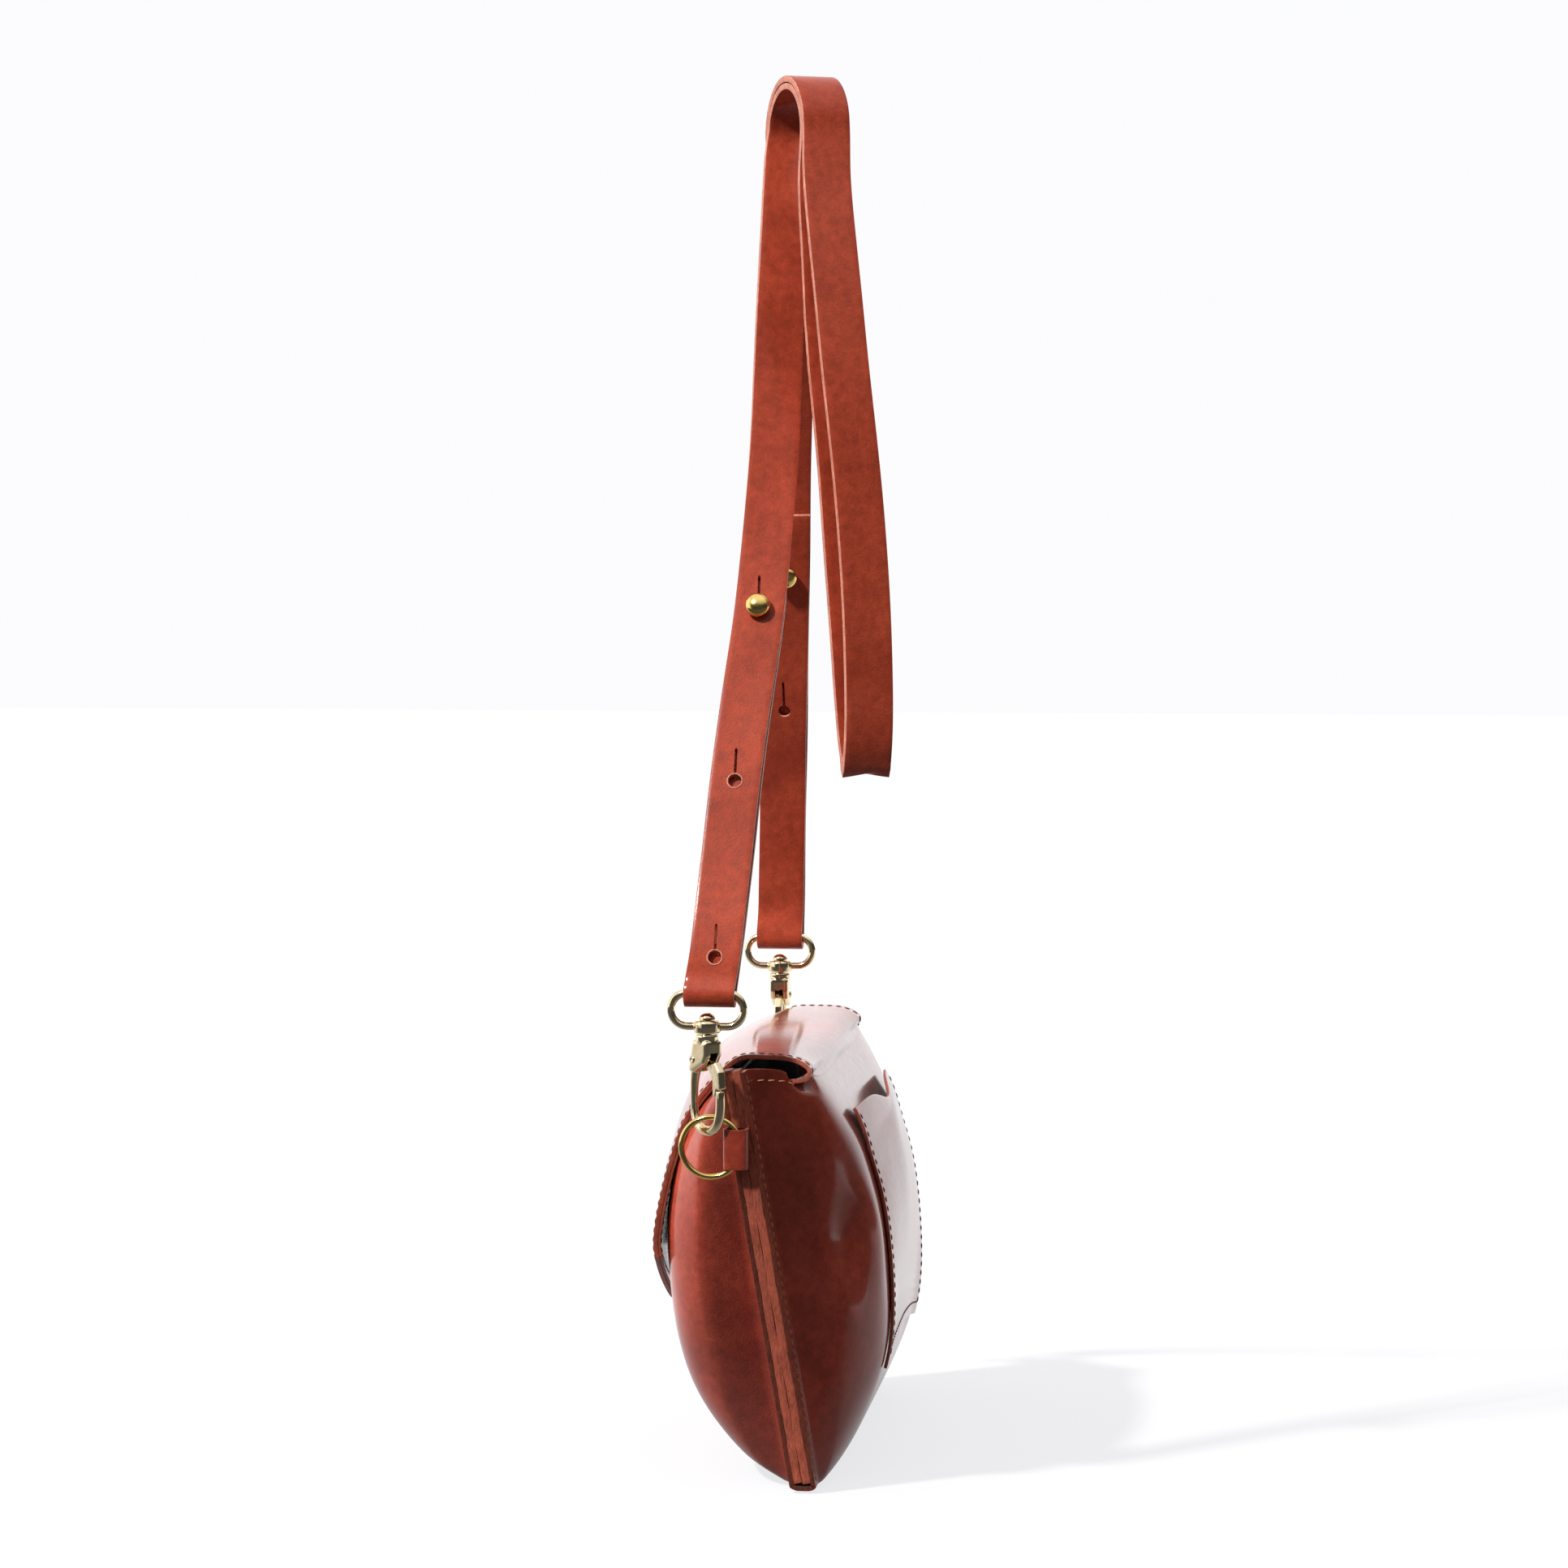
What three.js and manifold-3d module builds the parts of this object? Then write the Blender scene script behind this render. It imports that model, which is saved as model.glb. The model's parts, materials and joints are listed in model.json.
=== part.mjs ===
// A small leather shoulder bag, hung by its strap. One sheet of leather makes the front, the folded
// bottom and the back; a second stretch of it folds over the top as the flap. The sides are pinched
// flat and sewn round two welt strips. A ring tab, a ring and a swivel clasp at each end hold the
// shoulder strap, which is doubled over a rod and comes back to itself through a stud at each end.
// Millimetres, +Z up. X runs along the bag, the flap closes over the front on -Y.
import * as THREE from 'three';
import { mergeVertices } from 'three/addons/utils/BufferGeometryUtils.js';
import Module from 'manifold-3d';

const wasm = await Module();
wasm.setup();

// ---- driving dimensions -------------------------------------------------------------------------
const GAP = 0.3;                 // air kept between pieces that touch
const LEATHER = 1.8;             // thickness of the body's leather
const POCKET_LEATHER = 1.4;
const HALF_LENGTH = 115;         // from the middle of the bag to the edge of a sewn end
const FLANGE_WIDTH = 9;          // flat sewn margin at each end
const STACK = 10.5;              // thickness of a sewn end
const SEAM_SLOPE = -0.172;       // the sewn ends lean forwards as they rise: dY/dZ
const SEAM_TOP = 165;
const MOUTH_HEIGHT = 160;
const FLAP_HALF_WIDTH = 98;
const FLAP_CORNER_HALF_WIDTH = 80;
const POCKET_HALF_WIDTH = 69;
const MAGNET = { radius: 9, thick: 1.6, z: 88 };
const RING = { x: 120, y: -36, z: 137.1, radius: 11.8, wire: 1.2 };
const CLASP = { y: -37.5, barZ: 198, bar: 1.9 };
const HOOK_TURN = { right: 46, left: 90 };   // degrees that each hook has turned on its swivel
const STRAP = { width: 20, thick: 2.6 };
const EYE_ROOM = 1.1;                        // between an eye's bar and the strap folded round it
const HANG = { x: 10, y: -10.5, z: 542.2, inner: 19.3, outer: 22.3 };
const HANG_TURN = 26.8;                      // degrees between the rod and the bag's width
const ORIGIN = new THREE.Vector3(-HANG.x, -HANG.y, -(HANG.z + HANG.inner - STRAP.thick / 2));

// The middle of the bag, seen from its end: front mouth, down, flat bottom, up to the back fold.
const FRONT = [[-36.5, 157], [-47.5, 147], [-56.8, 130], [-61.8, 108], [-62.3, 86], [-58.2, 53], [-49, 29],
  [-32, 9.5], [-15, 1.6], [-5, 0]];
const BACK = [[4, 0], [10.5, 4.5], [18.5, 19], [25.3, 39], [28.6, 62], [29.3, 86], [26.6, 110],
  [20, 132], [11.5, 148], [3, 160]];

const LEATHER_BROWN = 0x8f3416;
const BRASS = 0xd9b25f;

// ---- helpers ------------------------------------------------------------------------------------
const model = new THREE.Group();
const bag = new THREE.Group();
bag.position.copy(ORIGIN);
model.add(bag);

function addPart(name, geometry, color, roughness, metalness = 0, parent = bag) {
  geometry.computeVertexNormals();
  const material = new THREE.MeshStandardMaterial({ color, roughness, metalness });
  const mesh = new THREE.Mesh(geometry, material);
  mesh.name = name;
  parent.add(mesh);
  return mesh;
}

const addLeather = (name, geometry, parent) => addPart(name, geometry, LEATHER_BROWN, 0.4, 0, parent);
const addBrass = (name, geometry, parent) => addPart(name, geometry, BRASS, 0.2, 1, parent);

function merged(geometry) {
  const bare = geometry.clone();
  bare.deleteAttribute('normal');
  bare.deleteAttribute('uv');
  return mergeVertices(bare, 1e-4);
}

function toSolid(geometry) {
  const clean = merged(geometry);
  return new wasm.Manifold(new wasm.Mesh({
    numProp: 3,
    vertProperties: new Float32Array(clean.attributes.position.array),
    triVerts: new Uint32Array(clean.index.array),
  }));
}

function toGeometry(solid) {
  const mesh = solid.getMesh();
  const geometry = new THREE.BufferGeometry();
  geometry.setAttribute('position', new THREE.BufferAttribute(new Float32Array(mesh.vertProperties), 3));
  geometry.setIndex(new THREE.BufferAttribute(new Uint32Array(mesh.triVerts), 1));
  return geometry;
}

const cut = (geometry, ...tools) =>
  toGeometry(tools.reduce((solid, tool) => solid.subtract(toSolid(tool)), toSolid(geometry)));
const joined = (...pieces) =>
  toGeometry(pieces.slice(1).reduce((solid, piece) => solid.add(toSolid(piece)), toSolid(pieces[0])));

// A closed solid from rows of rings: every ring has the same number of points, and both ends close.
function loft(rings) {
  const count = rings[0].length;
  const positions = rings.flat().flatMap((p) => [p.x, p.y, p.z]);
  const index = [];
  for (let r = 0; r < rings.length - 1; r += 1) {
    for (let i = 0; i < count; i += 1) {
      const a = r * count + i;
      const b = r * count + ((i + 1) % count);
      index.push(a, b, a + count, b, b + count, a + count);
    }
  }
  const flat = rings[0].length / 2;
  const last = (rings.length - 1) * count;
  for (let i = 0; i < flat - 1; i += 1) {
    const j = count - 1 - i;
    index.push(i, j, i + 1, i + 1, j, j - 1);
    index.push(last + i, last + i + 1, last + j, last + i + 1, last + j - 1, last + j);
  }
  const geometry = new THREE.BufferGeometry();
  geometry.setAttribute('position', new THREE.Float32BufferAttribute(positions, 3));
  geometry.setIndex(index);
  if (signedVolume(geometry) < 0) {
    const turned = [];
    for (let t = 0; t < index.length; t += 3) turned.push(index[t], index[t + 2], index[t + 1]);
    geometry.setIndex(turned);
  }
  return geometry;
}

function signedVolume(geometry) {
  const at = (i) => new THREE.Vector3().fromBufferAttribute(geometry.attributes.position, i);
  const corners = geometry.index.array;
  let sum = 0;
  for (let t = 0; t < corners.length; t += 3) {
    sum += at(corners[t]).dot(at(corners[t + 1]).cross(at(corners[t + 2])));
  }
  return sum / 6;
}

// Leather of even thickness behind a grid of outer points, whose rows run so that the inside is at their left.
function sheet(grid, thick) {
  const inner = grid.map((row, i) => row.map((p, j) => {
    const alongRow = row[Math.min(j + 1, row.length - 1)].clone().sub(row[Math.max(j - 1, 0)]);
    const across = grid[Math.min(i + 1, grid.length - 1)][j].clone().sub(grid[Math.max(i - 1, 0)][j]);
    const normal = alongRow.cross(across).normalize();
    return p.clone().addScaledVector(normal, thick);
  }));
  return loft(grid.map((row, i) => [...row, ...inner[i].slice().reverse()]));
}

// The same piece at the bag's other end.
function mirrored(geometry) {
  const other = merged(geometry).scale(-1, 1, 1);
  const index = other.index.array;
  for (let t = 0; t < index.length; t += 3) [index[t + 1], index[t + 2]] = [index[t + 2], index[t + 1]];
  return other;
}

function extrude(outline, depth, steps = 6) {
  const geometry = new THREE.ExtrudeGeometry(outline, { depth, bevelEnabled: false, curveSegments: steps });
  return geometry.translate(0, 0, -depth / 2);
}

const polygon = (points) => new THREE.Shape(points.map(([x, y]) => new THREE.Vector2(x, y)));

function lathe(profile, segments = 20) {
  return new THREE.LatheGeometry(profile.map(([r, z]) => new THREE.Vector2(r, z)), segments);
}

const smooth = (t) => THREE.MathUtils.smoothstep(t, 0, 1);

// ---- the body's shape ---------------------------------------------------------------------------
const FULLNESS_STATIONS = [115, 110.5, 106, 103, 98, 91, 80, 64, 42, 20, 0];
const STATIONS = [...FULLNESS_STATIONS, ...FULLNESS_STATIONS.slice(0, -1).reverse().map((x) => -x)];
const PINCH = HALF_LENGTH - FLANGE_WIDTH;

// How full the bag is at x: 0 in the sewn margins, 1 in the middle. Near the back fold it fills at once.
function fullness(x, z, isBack) {
  const reach = Math.min(Math.abs(x) / PINCH, 1);
  const topness = isBack ? smooth((z - 118) / 42) : 0;
  return Math.sqrt(1 - reach ** (5 + 5 * topness));
}

function wallPoint(x, [y, z], isBack) {
  const seamZ = z * SEAM_TOP / MOUTH_HEIGHT;
  const half = STACK / 2 * Math.min(1, Math.sqrt(seamZ / 3) + 0.35);
  const seamY = SEAM_SLOPE * seamZ + (isBack ? half : -half);
  const f = fullness(x, z, isBack);
  return new THREE.Vector3(x, seamY + (y - seamY) * f, seamZ + (z - seamZ) * f);
}

const sectionAt = (x) => [...FRONT.map((p) => wallPoint(x, p, false)), ...BACK.map((p) => wallPoint(x, p, true))];

function makeBody() {
  addLeather('body_wrap', sheet(STATIONS.map(sectionAt), LEATHER));
}

function makeWelts() {
  const room = STACK / 2 - LEATHER - GAP;
  const bottom = 9;
  const tail = tabTail(GAP);
  for (const [end, sign] of [['right', 1], ['left', -1]]) {
    for (const [face, from, to] of [['front', -room, -GAP / 2], ['back', GAP / 2, room]]) {
      const outline = polygon([[from + SEAM_SLOPE * bottom, bottom], [to + SEAM_SLOPE * bottom, bottom],
        [to + SEAM_SLOPE * SEAM_TOP, SEAM_TOP], [from + SEAM_SLOPE * SEAM_TOP, SEAM_TOP]]);
      const width = FLANGE_WIDTH - 0.6;
      const strip = extrude(outline, width).rotateX(Math.PI / 2).rotateZ(Math.PI / 2);
      strip.translate(sign * (HALF_LENGTH - width / 2), 0, 0);
      addLeather(`side_welt_${face}_${end}`, cut(strip, sign > 0 ? tail : mirrored(tail)));
    }
  }
}

// ---- flap and pocket ----------------------------------------------------------------------------
const FLAP_MIDDLE = [[-0.5, 165.6], [-6.5, 169.2], [-18, 170], [-32, 169.4], [-44, 160], [-54, 146],
  [-62, 128], [-67, 108], [-69.6, 90], [-69.8, 72], [-68.6, 56]];
const FLAP_SIDE = [[-0.6, 166.4], [-6.5, 169.8], [-17, 170.6], [-29.5, 169.2], [-41.5, 158], [-51.6, 144],
  [-58.4, 126], [-62.6, 110], [-64.6, 99], [-65, 93], [-64.4, 88]];
const FLAP_COLUMNS = 14;

function flapPoint(u, k) {
  const [ym, zm] = FLAP_MIDDLE[k];
  const [ys, zs] = FLAP_SIDE[k];
  const side = u * u;
  const t = k / (FLAP_MIDDLE.length - 1);
  const half = THREE.MathUtils.lerp(FLAP_HALF_WIDTH, FLAP_CORNER_HALF_WIDTH, smooth(t));
  const z = THREE.MathUtils.lerp(zm, zs, t > 0.5 ? Math.abs(u) : side);
  return new THREE.Vector3(u * half, THREE.MathUtils.lerp(ym, ys, side), z);
}

function makeFlap() {
  const grid = [];
  for (let c = 0; c <= FLAP_COLUMNS; c += 1) {
    const u = 1 - 2 * c / FLAP_COLUMNS;
    const column = FLAP_MIDDLE.map((_, k) => flapPoint(u, k));
    const edge = wallPoint(u * FLAP_HALF_WIDTH, BACK[BACK.length - 1], true);
    const start = new THREE.Vector3(u * FLAP_HALF_WIDTH, edge.y - 0.45, edge.z + 0.6);
    grid.push([start, ...column]);
  }
  addLeather('flap', sheet(grid, LEATHER));
}

// A point of the back wall, v steps along its section.
function backPoint(x, v) {
  const base = Math.min(Math.floor(v), BACK.length - 2);
  return wallPoint(x, BACK[base], true).lerp(wallPoint(x, BACK[base + 1], true), v - base);
}

function makePocket() {
  const grid = [];
  const columns = 10;
  for (let c = 0; c <= columns; c += 1) {
    const u = 1 - 2 * c / columns;
    const x = u * POCKET_HALF_WIDTH;
    const low = THREE.MathUtils.lerp(3.35, 3.05, Math.abs(u));
    const high = 7.75 - 0.35 * Math.exp(-((u * 3) ** 2));
    const column = [];
    for (let k = 0; k <= 6; k += 1) {
      const v = THREE.MathUtils.lerp(low, high, k / 6);
      const up = backPoint(x, v + 0.1).sub(backPoint(x, v - 0.1));
      const along = backPoint(x + 2, v).sub(backPoint(x - 2, v));
      const outward = up.cross(along).normalize();
      const lift = POCKET_LEATHER + GAP + 1.3 + 1.2 * (1 - u * u) * (k / 6);
      column.push(backPoint(x, v).addScaledVector(outward, lift));
    }
    grid.push(column);
  }
  addLeather('back_pocket', sheet(grid, POCKET_LEATHER));
}

function disc(radius, thick, y, z) {
  return new THREE.CylinderGeometry(radius, radius, thick, 20).translate(0, y, z);
}

function makeMagnets() {
  const panel = -62.5;
  const flapInside = -66.6;
  addPart('magnet_front', disc(MAGNET.radius, MAGNET.thick, panel - GAP - MAGNET.thick / 2, MAGNET.z), 0x2a2320, 0.5);
  addPart('magnet_flap', disc(MAGNET.radius, 1.6, flapInside + GAP + 0.8, MAGNET.z), 0x2a2320, 0.5);
}

// ---- ring tabs and rings ------------------------------------------------------------------------
const TAB = { y: -26.2, wall: 1.4, halfHole: 3.75, reach: 7.9, low: 128.5, high: 144.4 };
TAB.half = TAB.halfHole + TAB.wall;

function tabTail(clearance) {
  const height = TAB.high - TAB.low + 2 * clearance;
  const tail = new THREE.BoxGeometry(7 + clearance, 2.2 + 2 * clearance, height);
  const x = HALF_LENGTH - 3.5 + 1.2 + clearance / 2;
  return tail.translate(x - clearance, seamMiddleAtTab(), (TAB.low + TAB.high) / 2);
}

function seamMiddleAtTab() {
  return SEAM_SLOPE * (TAB.low + TAB.high) / 2;
}

function makeTabAndRing(end, sign) {
  const shape = new THREE.Shape();
  const nose = 3.2;
  shape.moveTo(0, -TAB.half);
  shape.lineTo(TAB.reach - nose, -TAB.half);
  shape.absarc(TAB.reach - nose, -TAB.half + nose, nose, -Math.PI / 2, 0, false);
  shape.absarc(TAB.reach - nose, TAB.half - nose, nose, 0, Math.PI / 2, false);
  shape.lineTo(0, TAB.half);
  const hole = new THREE.Path();
  hole.moveTo(TAB.wall, -TAB.halfHole);
  hole.lineTo(TAB.wall, TAB.halfHole);
  hole.lineTo(TAB.reach - TAB.wall, TAB.halfHole);
  hole.lineTo(TAB.reach - TAB.wall, -TAB.halfHole);
  shape.holes.push(hole);
  const loop = extrude(shape, TAB.high - TAB.low);
  loop.translate(HALF_LENGTH + GAP, TAB.y, (TAB.low + TAB.high) / 2);
  const tab = joined(loop, tabTail(0));
  addLeather(`ring_tab_${end}`, sign > 0 ? tab : mirrored(tab));

  const ring = new THREE.TorusGeometry(RING.radius, RING.wire, 8, 32).rotateY(Math.PI / 2);
  ring.translate(sign * RING.x, RING.y, RING.z);
  addBrass(`ring_${end}`, ring);
}

// ---- swivel clasps ------------------------------------------------------------------------------
// The hook is drawn in its own plane: u sideways, v up from the bag's bottom, 3.4 thick.
const HOOK = { thick: 3.4, cheek: 6.6, slot: 4.2, pinU: -4.5, pinV: 171.6, pinRadius: 0.9 };

function ribbonOutline(points, halfWidths) {
  const left = [];
  const right = [];
  points.forEach(([u, v], i) => {
    const [u0, v0] = points[Math.max(i - 1, 0)];
    const [u1, v1] = points[Math.min(i + 1, points.length - 1)];
    const length = Math.hypot(u1 - u0, v1 - v0);
    const nu = -(v1 - v0) / length * halfWidths[i];
    const nv = (u1 - u0) / length * halfWidths[i];
    left.push([u + nu, v + nv]);
    right.unshift([u - nu, v - nv]);
  });
  return polygon([...left, ...right]);
}

function hookGeometry() {
  const arc = [];
  for (let i = 0; i <= 10; i += 1) {
    const a = Math.PI + Math.PI * i / 10;
    arc.push([8.4 * Math.cos(a), 152.4 + 8.6 * Math.sin(a)]);
  }
  const path = [[-5.2, 175], [-7.6, 168], [-8.5, 160], ...arc, [8.6, 156], [8.4, 160]];
  const widths = [2.6, 1.9, 1.5, 1.6, 1.7, 1.8, 1.9, 2, 2, 2, 2, 2, 1.9, 1.9, 1.7, 1.5];
  const arm = extrude(ribbonOutline(path, widths), HOOK.thick);
  const head = extrude(polygon([[-7.6, 167.6], [-1.4, 168.4], [4.6, 172.5], [5.2, 178], [-5.2, 178]]), HOOK.cheek);
  const collar = new THREE.CylinderGeometry(5.2, 5.2, 4.3, 20).rotateX(Math.PI / 2);
  const upright = joined(arm, head).rotateX(Math.PI / 2);
  collar.rotateX(0).translate(0, 0, 179.9);
  const whole = joined(upright, collar);
  const slot = new THREE.BoxGeometry(30, HOOK.slot, 11).translate(HOOK.pinU + 13, 0, 170);
  const pinHole = new THREE.CylinderGeometry(HOOK.pinRadius + 0.12, HOOK.pinRadius + 0.12, 20, 12);
  pinHole.translate(HOOK.pinU, 0, HOOK.pinV);
  const postHole = new THREE.CylinderGeometry(1.9, 1.9, 6, 12).rotateX(Math.PI / 2).translate(0, 0, 180);
  return cut(whole, slot, pinHole, postHole);
}

function gateGeometry() {
  const path = [[-4.5, 171.6], [-1, 170.4], [3.2, 168.6], [5.6, 165], [5.9, 161], [5.2, 157.2]];
  const bar = extrude(ribbonOutline(path, [2.1, 1.9, 1.6, 1.4, 1.2, 0.8]), 2.4);
  const knob = extrude(ribbonOutline([[-4.5, 171.6], [-4.2, 168.6], [-4.1, 166.9]], [1.8, 1.3, 0.9]), 2.4);
  const gate = joined(bar, knob).rotateX(Math.PI / 2).translate(0, 0.8, 0);
  const hole = new THREE.CylinderGeometry(HOOK.pinRadius + 0.12, HOOK.pinRadius + 0.12, 20, 12);
  return cut(gate, hole.translate(HOOK.pinU, 0, HOOK.pinV));
}

function eyeGeometry() {
  const halfStraight = 7.8;
  const low = 184.8;
  const high = CLASP.barZ;
  const middle = (low + high) / 2;
  const radius = (high - low) / 2;
  const section = [];
  const corners = [];
  for (const [sign, from] of [[1, -Math.PI / 2], [-1, Math.PI / 2]]) {
    for (let i = 0; i <= 8; i += 1) {
      const a = from + Math.PI * i / 8;
      corners.push(new THREE.Vector3(0, sign * halfStraight + radius * Math.cos(a), middle + radius * Math.sin(a)));
    }
  }
  for (let i = 0; i < 8; i += 1) {
    const a = Math.PI * 2 * i / 8;
    section.push([CLASP.bar * Math.cos(a), CLASP.bar * Math.sin(a)]);
  }
  const positions = [];
  const index = [];
  corners.forEach((p, i) => {
    const before = corners[(i + corners.length - 1) % corners.length];
    const after = corners[(i + 1) % corners.length];
    const along = after.clone().sub(before).normalize();
    const out = new THREE.Vector3(0, along.z, -along.y);
    for (const [a, b] of section) positions.push(p.x + b, p.y + out.y * a, p.z + out.z * a);
    for (let k = 0; k < 8; k += 1) {
      const n = (i + 1) % corners.length;
      const m = (k + 1) % 8;
      index.push(i * 8 + k, i * 8 + m, n * 8 + k, i * 8 + m, n * 8 + m, n * 8 + k);
    }
  });
  const oval = new THREE.BufferGeometry();
  oval.setAttribute('position', new THREE.Float32BufferAttribute(positions, 3));
  oval.setIndex(index);
  if (signedVolume(oval) < 0) {
    for (let t = 0; t < index.length; t += 3) [index[t + 1], index[t + 2]] = [index[t + 2], index[t + 1]];
    oval.setIndex(index);
  }
  const boss = new THREE.CylinderGeometry(5.6, 6.35, 5, 20).rotateX(Math.PI / 2).translate(0, 0, 184.9);
  const bore = new THREE.CylinderGeometry(2, 2, 12, 12).rotateX(Math.PI / 2).translate(0, 0, 185);
  return cut(joined(oval, boss), bore);
}

function makeClasp(end, sign) {
  const swivel = new THREE.Group();
  swivel.position.set(sign * RING.x, CLASP.y, 0);
  bag.add(swivel);
  addBrass(`clasp_eye_${end}`, eyeGeometry(), swivel);

  const turned = new THREE.Group();
  turned.rotation.z = THREE.MathUtils.degToRad(sign > 0 ? 90 - HOOK_TURN.right : 90 - HOOK_TURN.left);
  swivel.add(turned);
  addBrass(`clasp_hook_${end}`, hookGeometry(), turned);
  addBrass(`clasp_gate_${end}`, gateGeometry(), turned);
  const pin = new THREE.CylinderGeometry(HOOK.pinRadius, HOOK.pinRadius, HOOK.cheek - 0.4, 12);
  addBrass(`gate_pin_${end}`, pin.translate(HOOK.pinU, 0, HOOK.pinV), turned);
  const coil = lathe([[1.2, -0.45], [1.9, -0.45], [1.9, 0.45], [1.2, 0.45], [1.2, -0.45]], 12);
  addPart(`gate_spring_${end}`, coil.translate(HOOK.pinU, -1.25, HOOK.pinV), 0x9a9a9a, 0.3, 1, turned);
  const rivet = lathe([[0, 178.3], [1.6, 178.3], [1.6, 187.75], [3.2, 187.75], [2.9, 189.2], [1.6, 190.1], [0, 190.3]]);
  addBrass(`clasp_rivet_${end}`, rivet.rotateX(Math.PI / 2), turned);
}

// ---- shoulder strap -----------------------------------------------------------------------------
// Points run from the near tongue, round the near eye, up behind the rod, over it, down to the bight,
// back up, over the rod again and down to the far eye and its tongue. Each is x, y, z of the middle.
const NEAR_LEG = [[121.6, -36.8, 203], [118.5, -34.2, 214], [106, -32, 245], [93, -30.1, 278], [79, -26.6, 315.7],
  [68, -23.6, 347.3], [49, -20.8, 396.9], [31, -20.1, 448], [14, -19.8, 497.3], [0.5, -19.6, 528]];
const BEHIND_BIGHT = [[30, -2.4, 520], [36, -0.6, 490], [42, 2.2, 455], [50, 7.8, 405], [56, 12.4, 357], [60.5, 15.6, 318],
  [62.2, 17.6, 297], [63.6, 18.8, 288.6]];
const BEFORE_BIGHT = [[71.6, 20.9, 290], [73.4, 21.4, 300], [73.6, 21.2, 320], [71, 19.6, 357.9], [64.6, 14.2, 413],
  [54.8, 8.2, 462], [45.2, 4, 495], [35.4, 0.6, 524]];
const FAR_LEG = [[-14, -18.8, 528], [-21.4, -19.8, 499], [-33, -22.6, 466], [-51, -25.6, 415], [-70, -28.3, 362.8],
  [-90, -31.4, 309.3], [-108, -34.6, 254.7], [-119, -36.6, 214], [-121.6, -37.2, 203]];
const BIGHT_BOTTOM = [67.8, 19.9, 282.6];
const TONGUE_GAP = STRAP.thick + 0.5;

const toVector = ([x, y, z]) => new THREE.Vector3(x, y, z);

function arch(radius) {
  const turn = THREE.MathUtils.degToRad(HANG_TURN);
  const points = [];
  for (let i = 0; i <= 8; i += 1) {
    const a = Math.PI * i / 8;
    const out = -radius * Math.cos(a);
    points.push(new THREE.Vector3(HANG.x + out * Math.cos(turn), HANG.y + out * Math.sin(turn), HANG.z + radius * Math.sin(a)));
  }
  return points;
}

function roundEye(sign) {
  const radius = CLASP.bar + EYE_ROOM + STRAP.thick / 2;
  const points = [];
  for (let i = 0; i <= 6; i += 1) {
    const a = -0.1 + (Math.PI + 0.2) * i / 6;
    points.push(new THREE.Vector3(sign * (RING.x + radius * Math.cos(a)), CLASP.y, CLASP.barZ - radius * Math.sin(a)));
  }
  return points;
}

// The tongue lies on the inner side of its leg, from the eye up to the stud and a little past it.
function tongue(leg, sign, top) {
  const curve = new THREE.CatmullRomCurve3(leg, false, 'centripetal');
  const points = [];
  for (let i = 0; i <= 60; i += 1) {
    const p = curve.getPointAt(i / 60);
    if (p.z > top || p.z < 210) continue;
    const along = curve.getTangentAt(i / 60);
    const inward = new THREE.Vector3(-Math.abs(along.z) * sign, 0, -Math.abs(along.x)).normalize();
    points.push(p.addScaledVector(inward, TONGUE_GAP));
  }
  return points.filter((_, i) => i % 4 === 0 || i === points.length - 1);
}

function strapCentre() {
  const nearLeg = NEAR_LEG.map(toVector);
  const farUp = FAR_LEG.map(toVector).reverse();
  const nearTongue = tongue(nearLeg, 1, 362).reverse();
  const farTongue = tongue(farUp, -1, 388);
  return [...nearTongue, ...roundEye(1).reverse(), ...nearLeg, ...arch(HANG.inner), ...BEHIND_BIGHT.map(toVector),
    toVector(BIGHT_BOTTOM), ...BEFORE_BIGHT.map(toVector), ...arch(HANG.outer).reverse(), ...farUp.slice().reverse(),
    ...roundEye(-1), ...farTongue];
}

// The strap's width lies along the bag's Y at its ends and along the rod at the top and in the bight.
function widthAt(z) {
  const turn = THREE.MathUtils.degToRad(HANG_TURN) * smooth((z - 300) / 200);
  return new THREE.Vector3(-Math.sin(turn), Math.cos(turn), 0);
}

// Long steps where the strap runs straight, short ones where it bends tightly.
function strapSteps(curve, total) {
  const [long, short, mostBend] = [13, 0.8, 0.3];
  const steps = [0];
  for (let s = 0; s < total;) {
    const here = curve.getTangentAt(s / total);
    let step = long;
    while (step > short && here.angleTo(curve.getTangentAt(Math.min((s + step) / total, 1))) > mostBend) step *= 0.7;
    s += step;
    steps.push(Math.min(s / total, 1));
  }
  return steps;
}

function strapGeometry() {
  const curve = new THREE.CatmullRomCurve3(strapCentre(), false, 'centripetal');
  curve.arcLengthDivisions = 4000;
  const rings = [];
  const total = curve.getLength();
  for (const t of strapSteps(curve, total)) {
    const p = curve.getPointAt(t);
    const along = curve.getTangentAt(t);
    const inPair = t * total > 700 && t * total < 1130;
    const guide = inPair ? widthAt(500) : widthAt(p.z);
    const across = guide.addScaledVector(along, -guide.dot(along)).normalize();
    const face = new THREE.Vector3().crossVectors(along, across);
    const w = across.multiplyScalar(STRAP.width / 2);
    const h = face.multiplyScalar(STRAP.thick / 2);
    rings.push([p.clone().add(w).add(h), p.clone().sub(w).add(h), p.clone().sub(w).sub(h), p.clone().add(w).sub(h)]);
  }
  return { geometry: loft(rings), total };
}

const STUDS = {
  right: { leg: NEAR_LEG, z: 348.3, sign: 1, headOut: 1, radius: 5 },
  left: { leg: FAR_LEG, z: 361, sign: -1, headOut: -1, radius: 5 },
};

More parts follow.
